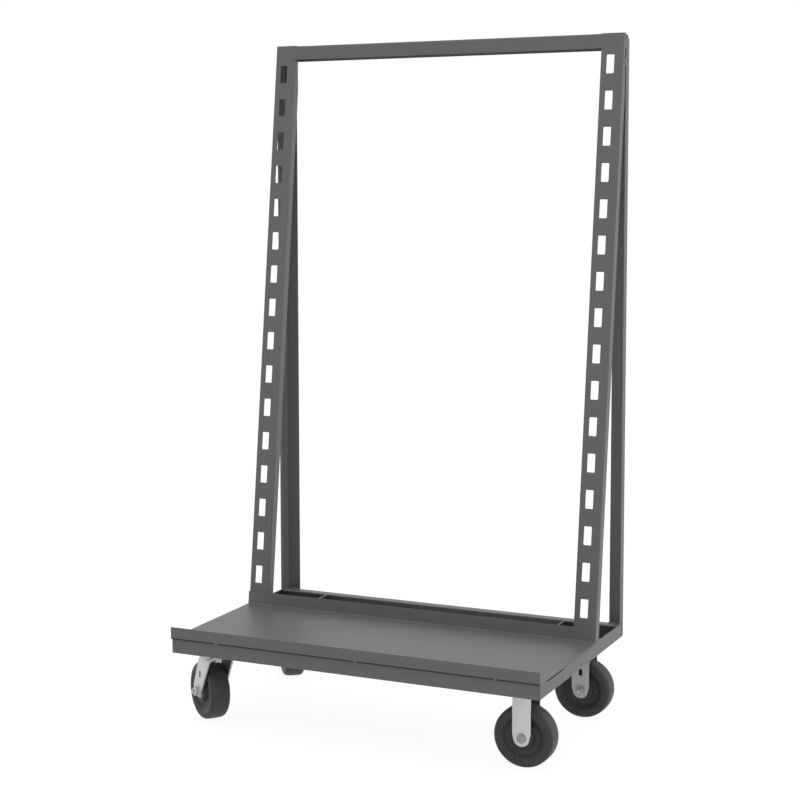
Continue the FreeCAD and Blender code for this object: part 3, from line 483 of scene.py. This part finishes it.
# %% Dress the nodes
FINISHES = {"grey_paint": paint, "zinc_plate": zinc, "wheel": wheel_plastic, "bearing_steel": steel}
BASE_NODES = ["left_side_rail", "right_side_rail", "rear_rail", "left_cross_member",
              "right_cross_member"]
OWN_FINISH = {"rear_frame": frame_paint_lit, **{node: base_paint_shaded for node in BASE_NODES}}
for part in frame["record"]["subparts"]:
    mesh = nodes[part["node"]].data
    mesh.materials.clear()
    mesh.materials.append(OWN_FINISH.get(part["node"], FINISHES[part["material_slot"]]))
print(f"{len(FINISHES)} slots dressed on {len(nodes)} nodes, own paint on {len(OWN_FINISH)}")

# %% [markdown]
# ## How a piece is finished
#
# Every new piece is modelled in a bmesh, in metres and in its final place, so its object stays at the origin.
# Doubles are merged first and the normals recalculated after, because a spin or an extrusion can leave a shape
# inside out. Faces are shaded smooth up to a sharp edge. The piece then rides on a body of the CAD model and takes
# its material.

# %% New pieces
BODIES = frame["record"]["behaviour"]["bodies"]
MERGE = 0.001 * MM
SHARP = math.radians(35)


def new_piece(name, bm, material, body):
    """Turn a bmesh into a piece that rides on a body."""
    bmesh.ops.remove_doubles(bm, verts=bm.verts, dist=MERGE)
    bmesh.ops.recalc_face_normals(bm, faces=bm.faces)
    mesh = bpy.data.meshes.new(name)
    bm.to_mesh(mesh)
    bm.free()
    mesh.materials.append(material)
    mesh.shade_smooth()
    mesh.set_sharp_from_angle(angle=SHARP)
    piece = bpy.data.objects.new(name, mesh)
    scene.collection.objects.link(piece)
    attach(piece, body)
    print(f"{name}: {len(mesh.polygons)} faces, on {body}")
    return piece


print(f"pieces can ride on {len(BODIES)} bodies")

# %% [markdown]
# ## Painted shade in the seams
#
# The tray is bent with a small radius and only tacked to the front rail, so a groove runs along the whole front.
# Light doesn't get into it, so it shows as a dark line, and that shade is painted: a narrow near-black strip,
# because darkening the paint by height would not stay in the groove. A closed section is drawn, filled and
# extruded, and cut across so that its faces don't get too long.

# %% Strip in the front groove
ALONG_X, ALONG_Y, ALONG_Z = (1, 0, 0), (0, 1, 0), (0, 0, 1)
STRIP_CUTS = 24
LONG_SHARE = 0.9  # edges longer than this share of a strip run along it
STAND_OUT = 0.12  # of a strip from the face that it darkens, in millimetres


def strip(corners, length, along):
    """A closed section of corners in millimetres, extruded along a direction."""
    bm = bmesh.new()
    section = bm.faces.new([bm.verts.new(Vector(corner) * MM) for corner in corners])
    grown = bmesh.ops.extrude_face_region(bm, geom=[section])["geom"]
    new_spots = [item for item in grown if isinstance(item, bmesh.types.BMVert)]
    bmesh.ops.translate(bm, vec=Vector(along) * length * MM, verts=new_spots)
    long_edges = [edge for edge in bm.edges if edge.calc_length() > LONG_SHARE * length * MM]
    bmesh.ops.subdivide_edges(bm, edges=long_edges, cuts=STRIP_CUTS)
    return bm


front_low, front_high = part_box("front_rail")
rail_face, rail_top, half_length = front_low[1] / MM, front_high[2] / MM, front_high[0] / MM
lip_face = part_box("base_tray")[0][1] / MM
GROOVE = [(lip_face + 0.05, 4.1), (lip_face + 0.3, 0.3),  # Y, and height over the rail's top
          (rail_face - STAND_OUT, -0.35), (rail_face - STAND_OUT, 0.4)]
groove = [(-half_length, y, rail_top + rise) for y, rise in GROOVE]
new_piece("front_seam", strip(groove, 2 * half_length, ALONG_X), seam_shade, "frame")

# %% [markdown]
# The side rails are relieved along part of their top edges, which leaves a slit under the tray's end, and from
# there to the post a hairline. The shade in both is painted as strips again, this time along the sides.

# %% Strips along the sides
SIDES = {"right": 1, "left": -1}
STRIP_DEPTH = 1.5  # behind the face
RELIEF_START, RELIEF_END, POST_FOOT = 44, 155, 385  # behind the front rail's face
SLITS = {"slit": (RELIEF_START, RELIEF_END, 4.2), "hairline": (RELIEF_END, POST_FOOT, 1.4)}
SLIT_RISE = 0.1  # over the rail's top


def side_strip(sign, first, second, length, along):
    """A strip on a side of the truck, whose section goes from a first (Y, Z) to a second one."""
    outer, inner = sign * (half_length + STAND_OUT), sign * (half_length - STRIP_DEPTH)
    section = [(outer, *first), (outer, *second), (inner, *second), (inner, *first)]
    return strip(section, length, along)


for side, sign in SIDES.items():
    for name, (start, end, height) in SLITS.items():
        low = (rail_face + start, rail_top - height)
        high = (rail_face + start, rail_top + SLIT_RISE)
        slit = side_strip(sign, low, high, end - start, ALONG_Y)
        new_piece(f"{side}_{name}", slit, seam_shade, "frame")

# %% [markdown]
# Two upright joints show the same way, as strips of painted shade. One is at each rear corner, where the side rail
# meets the upright's foot. The other is the narrow gap near the top between a post's flange and the upright, which
# two short beads bridge. It is a little wider in the photograph than in the CAD model, so its strips lap over the
# flange. The strips of a joint are put together in one piece.

# %% Strips in the upright joints
UPRIGHT_SEAMS = {  # near and far edge in Y, and spans of height, in millimetres
    "corner_seam": (288.6, 290.4, [(186, 226)]),
    "flange_seam": (269, 276.7, [(1500, 1555), (1573, 1599)]),
}


def put(target, shape, places):
    """Put copies of a shape into a bmesh, each at its own place."""
    pattern = bpy.data.meshes.new("pattern")
    shape.to_mesh(pattern)
    shape.free()
    for place in places:
        held = len(target.verts)
        target.from_mesh(pattern)
        bmesh.ops.transform(target, matrix=place, verts=list(target.verts)[held:])
    bpy.data.meshes.remove(pattern)


for side, sign in SIDES.items():
    for name, (near, far, spans) in UPRIGHT_SEAMS.items():
        bm = bmesh.new()
        for low, high in spans:
            seam = side_strip(sign, (near, low), (far, low), high - low, ALONG_Z)
            put(bm, seam, [Matrix()])
        new_piece(f"{side}_{name}", bm, seam_shade, "frame")

# %% [markdown]
# ## Weld beads
#
# A tack or a short bead is a row of small frozen puddles, so it is a long drop with ripples across
# it. A sphere is stretched along the joint and its girth is made to swell and shrink along its
# length. It is sunk halfway into the corner that it fills, and painted with the rest. The first are
# the tacks that hold the tray's lip to the front rail.

# %% Front tacks
RIPPLE, RIPPLE_SHARE = 2.2, 0.07  # length in millimetres, and share of the girth
RINGS_PER_RIPPLE, FEWEST_RINGS, BEAD_SEGMENTS = 5, 10, 14
END_TAPER, TAPER_POWER = 0.2, 6


def bead(length, width, height):
    """A rippled drop along X that stands up along Z, in millimetres."""
    bm = bmesh.new()
    rings = max(FEWEST_RINGS, round(length / RIPPLE * RINGS_PER_RIPPLE))
    bmesh.ops.create_uvsphere(bm, u_segments=BEAD_SEGMENTS, v_segments=rings, radius=1)
    quarter_turn = Matrix.Rotation(math.pi / 2, 3, "Y")
    bmesh.ops.rotate(bm, cent=(0, 0, 0), matrix=quarter_turn, verts=bm.verts)
    for spot in bm.verts:
        girth = 1 + RIPPLE_SHARE * math.cos(spot.co.x * length * math.pi / RIPPLE)
        fullness = girth * (1 - abs(spot.co.x) ** TAPER_POWER * END_TAPER)
        spot.co.y *= fullness
        spot.co.z *= fullness
    bmesh.ops.scale(bm, vec=Vector((length / 2, width / 2, height)) * MM, verts=bm.verts)
    return bm


def lie(place, along, out):
    """A frame at a place in millimetres, with X along a joint and Z out of it."""
    x = Vector(along).normalized()
    z = (Vector(out) - x * Vector(out).dot(x)).normalized()
    turn = Matrix((x, z.cross(x), z)).transposed().to_4x4()
    return Matrix.Translation(Vector(place) * MM) @ turn


def welds(name, beads):
    """One piece of several beads: (length, width, height, place, along, out)."""
    bm = bmesh.new()
    for length, width, height, *place in beads:
        put(bm, bead(length, width, height), [lie(*place)])
    new_piece(name, bm, paint, "frame")


TACKS = {-337: 22, 21: 15, 355: 15}  # place along the rail, and length
TACK_WIDTH, TACK_HEIGHT = 7.4, 2.2
tack_depth, tack_level = lip_face + 2.0, rail_top + 1.9
welds("front_tacks", [(length, TACK_WIDTH, TACK_HEIGHT, (x, tack_depth, tack_level),
                       ALONG_X, (0, -1, -0.25)) for x, length in TACKS.items()])

# %% [markdown]
# Where the front top rail meets the posts, the weld is ground flush. The posts lean, so their faces
# stand a little ahead of the rail's at its lower edge and come level with it at the top: the ground
# weld is a thin wedge. It is the hull of its corners. A drop of weld is left at the left corner,
# two short beads bridge each post's flange to the upright, and one rounds off each outer corner.

# %% Welds at the posts' heads
FLANGE_EDGE, FRAME_EDGE = 271.8, 276.8  # Y of a post's flange at the top, and of the upright
POST_LAP, RAIL_LAP, SKIN, SUNK, HEM_GAP, CREST_GAP = 3.6, 18, 0.06, 1.5, 0.6, 0.2  # ground welds
CORNER_BEAD, DROP = (44, 15, 7.6), (14, 12, 2.6)  # length, width, height
FLANGE_BEADS = {1608.5: (21, 9, 2.4), 1563.5: (19, 9, 2.4)}  # by height over the floor
rail_low, rail_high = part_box("top_front_rail")
post_low, post_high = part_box("right_slotted_post")
head_joint, head_face = rail_high[0] / MM, rail_low[1] / MM
head_hem, head_crest, head_top = rail_low[2] / MM, rail_high[2] / MM, post_high[2] / MM
lean = (rail_low[1] - post_low[1]) / (post_high[2] - post_low[2])


def ground_weld(sign):
    """A thin wedge from a post's leaning face to the rail's upright one."""
    bm = bmesh.new()
    for level in (head_hem + HEM_GAP, head_crest - CREST_GAP):
        post_face = head_face - lean * (head_top - level)
        for x, face in ((head_joint + POST_LAP, post_face), (head_joint - RAIL_LAP, head_face)):
            for y in (face - SKIN, face + SUNK):
                bm.verts.new(Vector((sign * x, y, level)) * MM)
    bmesh.ops.convex_hull(bm, input=bm.verts)
    return bm


for side, sign in SIDES.items():
    new_piece(f"{side}_ground_weld", ground_weld(sign), paint, "frame")
    outer_corner = (sign * (half_length - 7.8), head_face + 22, head_top - 8)
    beads = [(*CORNER_BEAD, outer_corner, ALONG_Y, (sign, 0, 1))]
    edge, gap = sign * (half_length - 1.2), (FLANGE_EDGE + FRAME_EDGE) / 2
    beads += [(*size, (edge, gap, level), ALONG_Z, (sign, 0, 0))
              for level, size in FLANGE_BEADS.items()]
    if side == "left":
        under_rail = (-head_joint - 5, head_face - 3.2, head_hem + 3)
        beads.append((*DROP, under_rail, (-0.3, 0, 1), (0.3, -1, 0)))
    welds(f"{side}_head_welds", beads)

# %% [markdown]
# ## The left upright's edge strip
#
# In the photograph the left upright is deeper from front to back than the right one: its side leg
# reaches the plane of the rear rail, and closes the gap behind the post's upper slots. The CAD
# model has the same leg on both sides, so the scene adds what is missing as a flat strip along that
# leg's edge. It is extruded as the seams are, and its two long front edges are bevelled.

# %% Edge strip
STRIP_INSET, STRIP_WALL, STRIP_LAP, TOUCH = 0.2, 2.3, 1, 0.01
rear_low, rear_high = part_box("rear_rail")
strip_front, strip_back = rear_low[1] / MM, FRAME_EDGE + STRIP_LAP
outer, inner = -half_length + STRIP_INSET, -half_length + STRIP_INSET + STRIP_WALL


def on_front(edge):
    """Whether an edge runs up the front of the strip."""
    first, second = (spot.co / MM for spot in edge.verts)
    in_face = all(abs(spot.y - strip_front) < TOUCH for spot in (first, second))
    return in_face and abs(first.z - second.z) > 1


def bevel_edges(bm, edges, offset, segments, clamp=False):
    """Bevel edges by an offset in millimetres."""
    bmesh.ops.bevel(bm, geom=edges, offset=offset * MM, offset_type="OFFSET", segments=segments,
                    profile=0.5, affect="EDGES", clamp_overlap=clamp, material=-1)


edge_section = [(outer, strip_front, rail_top), (inner, strip_front, rail_top),
                (inner, strip_back, rail_top), (outer, strip_back, rail_top)]
bm = strip(edge_section, head_hem - rail_top, ALONG_Z)
bevel_edges(bm, [edge for edge in bm.edges if on_front(edge)], offset=0.6, segments=2)
new_piece("left_upright_strip", bm, paint, "frame")

# %% [markdown]
# ## Beads at the feet
#
# The uprights of the rear frame and the feet of the posts stand on the base, where short fillets
# hold them: along the rear rail's flange inside each upright, and along the side rail under the
# outer flange of each post. The rear rail's own ends are filleted to the side rails.

# %% Beads at the feet
POST_WIDTH = 54.8
rear_face, rear_edge, foot = rear_low[1] / MM, rear_high[1] / MM, post_low[1] / MM + 14
for side, sign in SIDES.items():
    upright = sign * rear_high[0] / MM
    post_outside, post_inside = sign * (half_length - 0.6), sign * (half_length - POST_WIDTH)
    welds(f"{side}_foot_welds", [  # length, width, height, place, along, out
        (15, 7, 2.6, (upright, rear_edge - 5, rail_top), ALONG_Y, (-sign, 0, 1)),
        (12, 6, 2.2, (upright, rear_face + 7, rail_top - 1), ALONG_Y, (-sign, 0, 1)),
        (30, 6, 2.0, (upright - sign * 17, FRAME_EDGE + 9, rail_top), ALONG_X, (0, 0.2, 1)),
        (18, 6, 1.6, (post_outside, foot, rail_top + 0.4), ALONG_Y, (sign, 0, 0)),
        (18, 6, 2.0, (post_inside, foot, rail_top + 0.4), ALONG_Y, (-sign, 0, 1)),
    ])

# %% [markdown]
# ## Wheels
#
# The wheels are moulded with a hub boss, a deep recess and a crowned tread. A wheel is a turned
# shape. It could be cut from a cylinder, but a section that is drawn and spun gives every rounding
# in one go: half of it is listed from the bore outwards and mirrored, and its corners are rounded
# before it is spun.

# %% The wheel's section
CROWN = [(69.85, 0)]
HALF_WHEEL = [(15.1, 27.5, 0.8), (25, 27.5, 2.5), (27.5, 16, 4), (41, 16, 6), (48.5, 25.4, 7),
              (68.3, 25.4, 8.5), (69.5, 12.7)]  # out, along, corner radius
OTHER_HALF = [(out, -along, *radius) for out, along, *radius in HALF_WHEEL[::-1]]
WHEEL_SECTION = HALF_WHEEL + CROWN + OTHER_HALF
ROUND_SEGMENTS = 5


def profile(points, closed):
    """A wire in the XZ plane through points (out, along) in mm, some with a corner radius."""
    bm = bmesh.new()
    spots = [bm.verts.new((point[0] * MM, 0, point[1] * MM)) for point in points]
    for first, second in zip(spots, spots[1:] + spots[:1] if closed else spots[1:]):
        bm.edges.new((first, second))
    for spot, point in zip(spots, points):
        if len(point) == 3:
            bmesh.ops.bevel(bm, geom=[spot], offset=point[2] * MM, offset_type="OFFSET",
                            segments=ROUND_SEGMENTS, profile=0.5, affect="VERTICES", material=-1)
    return bm


def spun(points, steps, closed=False):
    """A profile turned about the Z axis."""
    bm = profile(points, closed)
    bmesh.ops.spin(bm, geom=bm.verts[:] + bm.edges[:], cent=(0, 0, 0), axis=ALONG_Z,
                   angle=math.tau, steps=steps, use_merge=True)
    bmesh.ops.remove_doubles(bm, verts=bm.verts, dist=MERGE)
    return bm


print(f"wheel section of {len(WHEEL_SECTION)} points")

# %% [markdown]
# Each wheel stands where its spin joint is. How far out on the tread a vertex is stays on the mesh
# as a mask, which the finish reads.

# %% Turn the wheels
JOINTS = {joint["name"]: joint for joint in frame["joints"]}
CORNERS = ["front_right", "rear_right", "front_left", "rear_left"]
TREAD_START, TREAD_FULL, WHEEL_STEPS = 66.5 * MM, 68.8 * MM, 96


def axle_frame(corner):
    """A frame in the middle of a wheel, with Z along its axle."""
    joint = JOINTS[f"{corner}_wheel_spin"]
    turn = Vector(joint["axis"]).to_track_quat("Z", "Y").to_matrix().to_4x4()
    return Matrix.Translation(Vector(joint["pos_m"])) @ turn


def keep_mask(piece, name, measure):
    """Keep a number from 0 to 1 on each vertex, for the finish to read."""
    mask = piece.data.attributes.new(name, "FLOAT", "POINT")
    for vertex, held in zip(piece.data.vertices, mask.data):
        held.value = min(1, max(0, measure(vertex)))


def tread_share(corner):
    """A measure of how far out on a wheel's tread a vertex is."""
    to_axle = axle_frame(corner).inverted()

    def measure(vertex):
        return ((to_axle @ vertex.co).xy.length - TREAD_START) / (TREAD_FULL - TREAD_START)
    return measure


for corner in CORNERS:
    bm = bmesh.new()
    put(bm, spun(WHEEL_SECTION, WHEEL_STEPS, closed=True), [axle_frame(corner)])
    wheel = new_piece(f"{corner}_moulded_wheel", bm, wheel_plastic, f"{corner}_wheel_body")
    keep_mask(wheel, "tread", tread_share(corner))
    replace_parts(wheel, f"{corner}_wheel")

# %% [markdown]
# ## Axle bolts and lock nuts
#
# Each axle is a bolt with a low round head, which has a ring and a dimple from its forging. The
# bolt is one turned profile: dimple, ring, rim, shank and thread, where a stack of ridges stands
# for the helix. A true helix would look the same at this size, with many more faces.

# %% The axle bolt's profile
AXLE_RADIUS, AXLE_END, TIP_CHAMFER = 6.35, 48, 1.2
THREAD_START, THREAD_END, THREAD_DEPTH, PITCH = 40, AXLE_END - TIP_CHAMFER, 0.6, 1.6
LEG_FACE = 33.5  # outer face of a fork's leg, from the wheel's middle


def thread(radius, depth, start, end, pitch):
    """Ridges of a thread along a profile, as points (out, along)."""
    starts = [start + pitch * i for i in range(int((end - start) / pitch))]
    ridges = [[(radius, along), (radius - depth, along + pitch / 2)] for along in starts]
    return [point for ridge in ridges for point in ridge]


ROUND_HEAD = [(0, -37.6), (1.6, -37.8), (3.4, -40.4, 0.5), (5.4, -40.2, 0.5), (6.2, -38.2),
              (7.4, -37.6), (8.3, -38.6, 0.4), (10.2, -37.6, 0.8), (10.8, -LEG_FACE),
              (AXLE_RADIUS, -LEG_FACE)]  # out, along, corner radius
AXLE_THREAD = thread(AXLE_RADIUS, THREAD_DEPTH, THREAD_START, THREAD_END, PITCH)
BOLT_TIP = [(AXLE_RADIUS - THREAD_DEPTH, THREAD_END), (AXLE_RADIUS - 1.4, AXLE_END), (0, AXLE_END)]
print(f"axle bolt: {len(ROUND_HEAD + AXLE_THREAD + BOLT_TIP)} points in its profile")

# %% [markdown]
# A lock nut sits on the other leg, with the bolt's thread standing out of it. It is a six-sided
# block whose edges are bevelled, on a turned washer and under a turned collar. The rear right bolt
# is put in from the inside, so that its nut shows, as in the photograph.

# %% Axle bolts and nuts
AXLE_STEPS = 40
NUT_FLATS, NUT_LOW, NUT_HIGH, NUT_BEVEL = 19, 35, 42.4, 0.9
WASHER = [(6.6, LEG_FACE), (12.4, LEG_FACE, 0.3), (12.4, NUT_LOW, 0.5), (6.6, NUT_LOW)]
COLLAR = [(6.4, 41), (8.9, 41), (8.9, 43, 0.9), (7.8, 44, 0.6), (6.4, 43.6)]
BODY_OF = {node: body for body, held in BODIES.items() for node in held}
# the rear casters take the darker copy of the zinc, which is painted shade
PLATING = {corner: shaded_zinc if corner.startswith("rear") else zinc for corner in CORNERS}


def hexagon_block(flats, low, high, bevel):
    """A six-sided block along Z with bevelled ends, in millimetres."""
    bm = bmesh.new()
    radius = flats / math.sqrt(3) * MM
    bmesh.ops.create_cone(bm, cap_ends=True, segments=6, radius1=radius, radius2=radius,
                          depth=(high - low) * MM)
    ends = [edge for edge in bm.edges if edge.verts[0].co.z == edge.verts[1].co.z]
    bevel_edges(bm, ends, bevel, segments=3)
    bmesh.ops.translate(bm, vec=(0, 0, (low + high) / 2 * MM), verts=bm.verts)
    return bm


half_turn = Matrix.Rotation(math.pi, 4, "X")
for corner in CORNERS:
    seat = axle_frame(corner) @ (half_turn if corner == "rear_right" else Matrix())
    carrier = BODY_OF[f"{corner}_axle_bolt"]
    bm = bmesh.new()
    put(bm, spun(ROUND_HEAD + AXLE_THREAD + BOLT_TIP, AXLE_STEPS), [seat])
    axle = new_piece(f"{corner}_round_head_axle", bm, steel, carrier)
    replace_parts(axle, f"{corner}_axle_bolt")
    bm = bmesh.new()
    put(bm, hexagon_block(NUT_FLATS, NUT_LOW, NUT_HIGH, NUT_BEVEL), [seat])
    for ring in (WASHER, COLLAR):
        put(bm, spun(ring, AXLE_STEPS, closed=True), [seat])
    lock_nut = new_piece(f"{corner}_lock_nut", bm, PLATING[corner], carrier)
    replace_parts(lock_nut, f"{corner}_axle_nut")

# %% [markdown]
# ## Forks with eased edges
#
# A stamped fork has eased edges, which catch the light as thin bright lines along the legs. The CAD fork has sharp
# ones. Its solid is right otherwise, so a copy of its mesh is merged, its flat triangles are joined into whole
# faces, and every sharp edge gets a small bevel. A mask keeps which way each vertex looks: towards the wheel,
# where the zinc gets painted shade, or away from it.

# %% Ease the forks' edges
FLAT = math.radians(0.5)
INNER_START, INNER_FULL = 0.2, 0.7  # how squarely a face looks at the wheel


def inner_shade_share(corner):
    """A measure of how far a vertex of a fork looks towards the wheel: its share of painted shade."""
    to_axle = axle_frame(corner).inverted()

    def measure(vertex):
        side = math.copysign(1, (to_axle @ vertex.co).z)
        inwards = -side * (to_axle.to_3x3() @ vertex.normal).z
        return (inwards - INNER_START) / (INNER_FULL - INNER_START)
    return measure


for corner in CORNERS:
    bm = bmesh.new()
    bm.from_mesh(nodes[f"{corner}_fork"].data)
    bmesh.ops.remove_doubles(bm, verts=bm.verts, dist=MERGE)
    bmesh.ops.dissolve_limit(bm, angle_limit=FLAT, verts=bm.verts, edges=bm.edges)
    sharp = [edge for edge in bm.edges if edge.is_manifold and edge.calc_face_angle() > SHARP]
    bevel_edges(bm, sharp, offset=0.7, segments=2, clamp=True)
    carrier = BODY_OF[f"{corner}_fork"]
    fork = new_piece(f"{corner}_eased_fork", bm, PLATING[corner], carrier)
    # the share of painted shade, on the faces that look at the wheel
    keep_mask(fork, "inner", inner_shade_share(corner))
    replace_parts(fork, f"{corner}_fork")

# %% [markdown]
# ## Bolts under the frame
#
# Four bolts hold each caster plate, heads down, with a lock washer and a nut inside the angle. A
# bolt is a six-sided head on a turned face, and a tip whose thread stands out of the nut. The shank
# is hidden in its hole. One bolt is made and copied to every plate's four holes.

# %% Caster bolts
BOLT_SPAN, BOLT_REACH = 92, 66.7  # between holes, along X and along Y
PLATE, ANGLE_WALL, WASHER_WALL, NUT_HEIGHT, TAIL = 5, 2.7, 2.2, 8.3, 2.5
BOLT_FLATS, BOLT_RADIUS, BOLT_HEAD, BOLT_FACE, FACE_RADIUS = 14.3, 4.75, 6, 0.7, 6.8
BOLT_CHAMFER, BOLT_DEPTH, BOLT_PITCH, BOLT_STEPS = 0.8, 0.45, 1.4, 24
holes = []
for corner in CORNERS:
    low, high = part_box(f"{corner}_caster_plate")
    middle = (Vector(low) + Vector(high)) / 2 / MM
    middle.z = high[2] / MM - PLATE
    holes += [Matrix.Translation((middle + Vector((i * BOLT_SPAN, j * BOLT_REACH, 0)) / 2) * MM)
              for i in (-1, 1) for j in (-1, 1)]
washer_level = PLATE + ANGLE_WALL
nut_level = washer_level + WASHER_WALL
nut_crest = nut_level + NUT_HEIGHT
tip = nut_crest + TAIL

face = [(0, -BOLT_FACE), (FACE_RADIUS, -BOLT_FACE), (FACE_RADIUS, 0), (BOLT_RADIUS, 0)]
ridges = thread(BOLT_RADIUS, BOLT_DEPTH, nut_crest - 1, tip - BOLT_CHAMFER, BOLT_PITCH)
end = [(BOLT_RADIUS - 0.5, tip - BOLT_CHAMFER), (BOLT_RADIUS - 1.1, tip), (0, tip)]
bolt = bmesh.new()
put(bolt, hexagon_block(BOLT_FLATS, -BOLT_HEAD, -BOLT_FACE, bevel=0.7), [Matrix()])
put(bolt, spun(face + ridges + end, BOLT_STEPS), [Matrix()])
bm = bmesh.new()
put(bm, bolt, holes)
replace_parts(new_piece("caster_hex_bolts", bm, zinc, "frame"), "caster_bolts")

# %% [markdown]
# A split lock washer is a ring of square wire that is cut through and sprung open. Its section is
# spun a little short of a full turn and climbs as it goes, which leaves its split open and its ends
# apart.

# %% Lock washers
RING_INNER, RING_OUTER, RING_WALL = 4.9, 8.4, 1.9
SPLIT_CLIMB, SPLIT_TURN, SPLIT_STEPS = 0.3, math.radians(348), 36
ring_top = washer_level + RING_WALL
washer = profile([(RING_INNER, washer_level), (RING_OUTER, washer_level), (RING_OUTER, ring_top),
                  (RING_INNER, ring_top)], closed=True)
section = bmesh.ops.contextual_create(washer, geom=washer.edges[:])["faces"]
bmesh.ops.spin(washer, geom=section + washer.edges[:] + washer.verts[:], cent=(0, 0, 0),
               axis=ALONG_Z, dvec=(0, 0, SPLIT_CLIMB * MM / SPLIT_STEPS), angle=SPLIT_TURN,
               steps=SPLIT_STEPS)
bm = bmesh.new()
put(bm, washer, holes)
split_washers = new_piece("caster_split_washers", bm, zinc, "frame")
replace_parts(split_washers, "caster_lock_washers")

# %% [markdown]
# The nut is a six-sided block again, with a low turned collar round its hole.

# %% Caster nuts
NUT_COLLAR = [(4.6, -0.2), (5.6, 0.1), (6.4, -0.2), (5.5, -0.6)]  # out, over the nut's crest
collar = [(out, nut_crest + rise) for out, rise in NUT_COLLAR]
nut = bmesh.new()
put(nut, hexagon_block(BOLT_FLATS, nut_level, nut_crest, bevel=0.8), [Matrix()])
put(nut, spun(collar, BOLT_STEPS, closed=True), [Matrix()])
bm = bmesh.new()
put(bm, nut, holes)
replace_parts(new_piece("caster_hex_nuts", bm, zinc, "frame"), "caster_nuts")

# %% [markdown]
# ## Closing
#
# Last, the view transform is set to Standard.

# %% Finish
scene.view_settings.view_transform = "Standard"
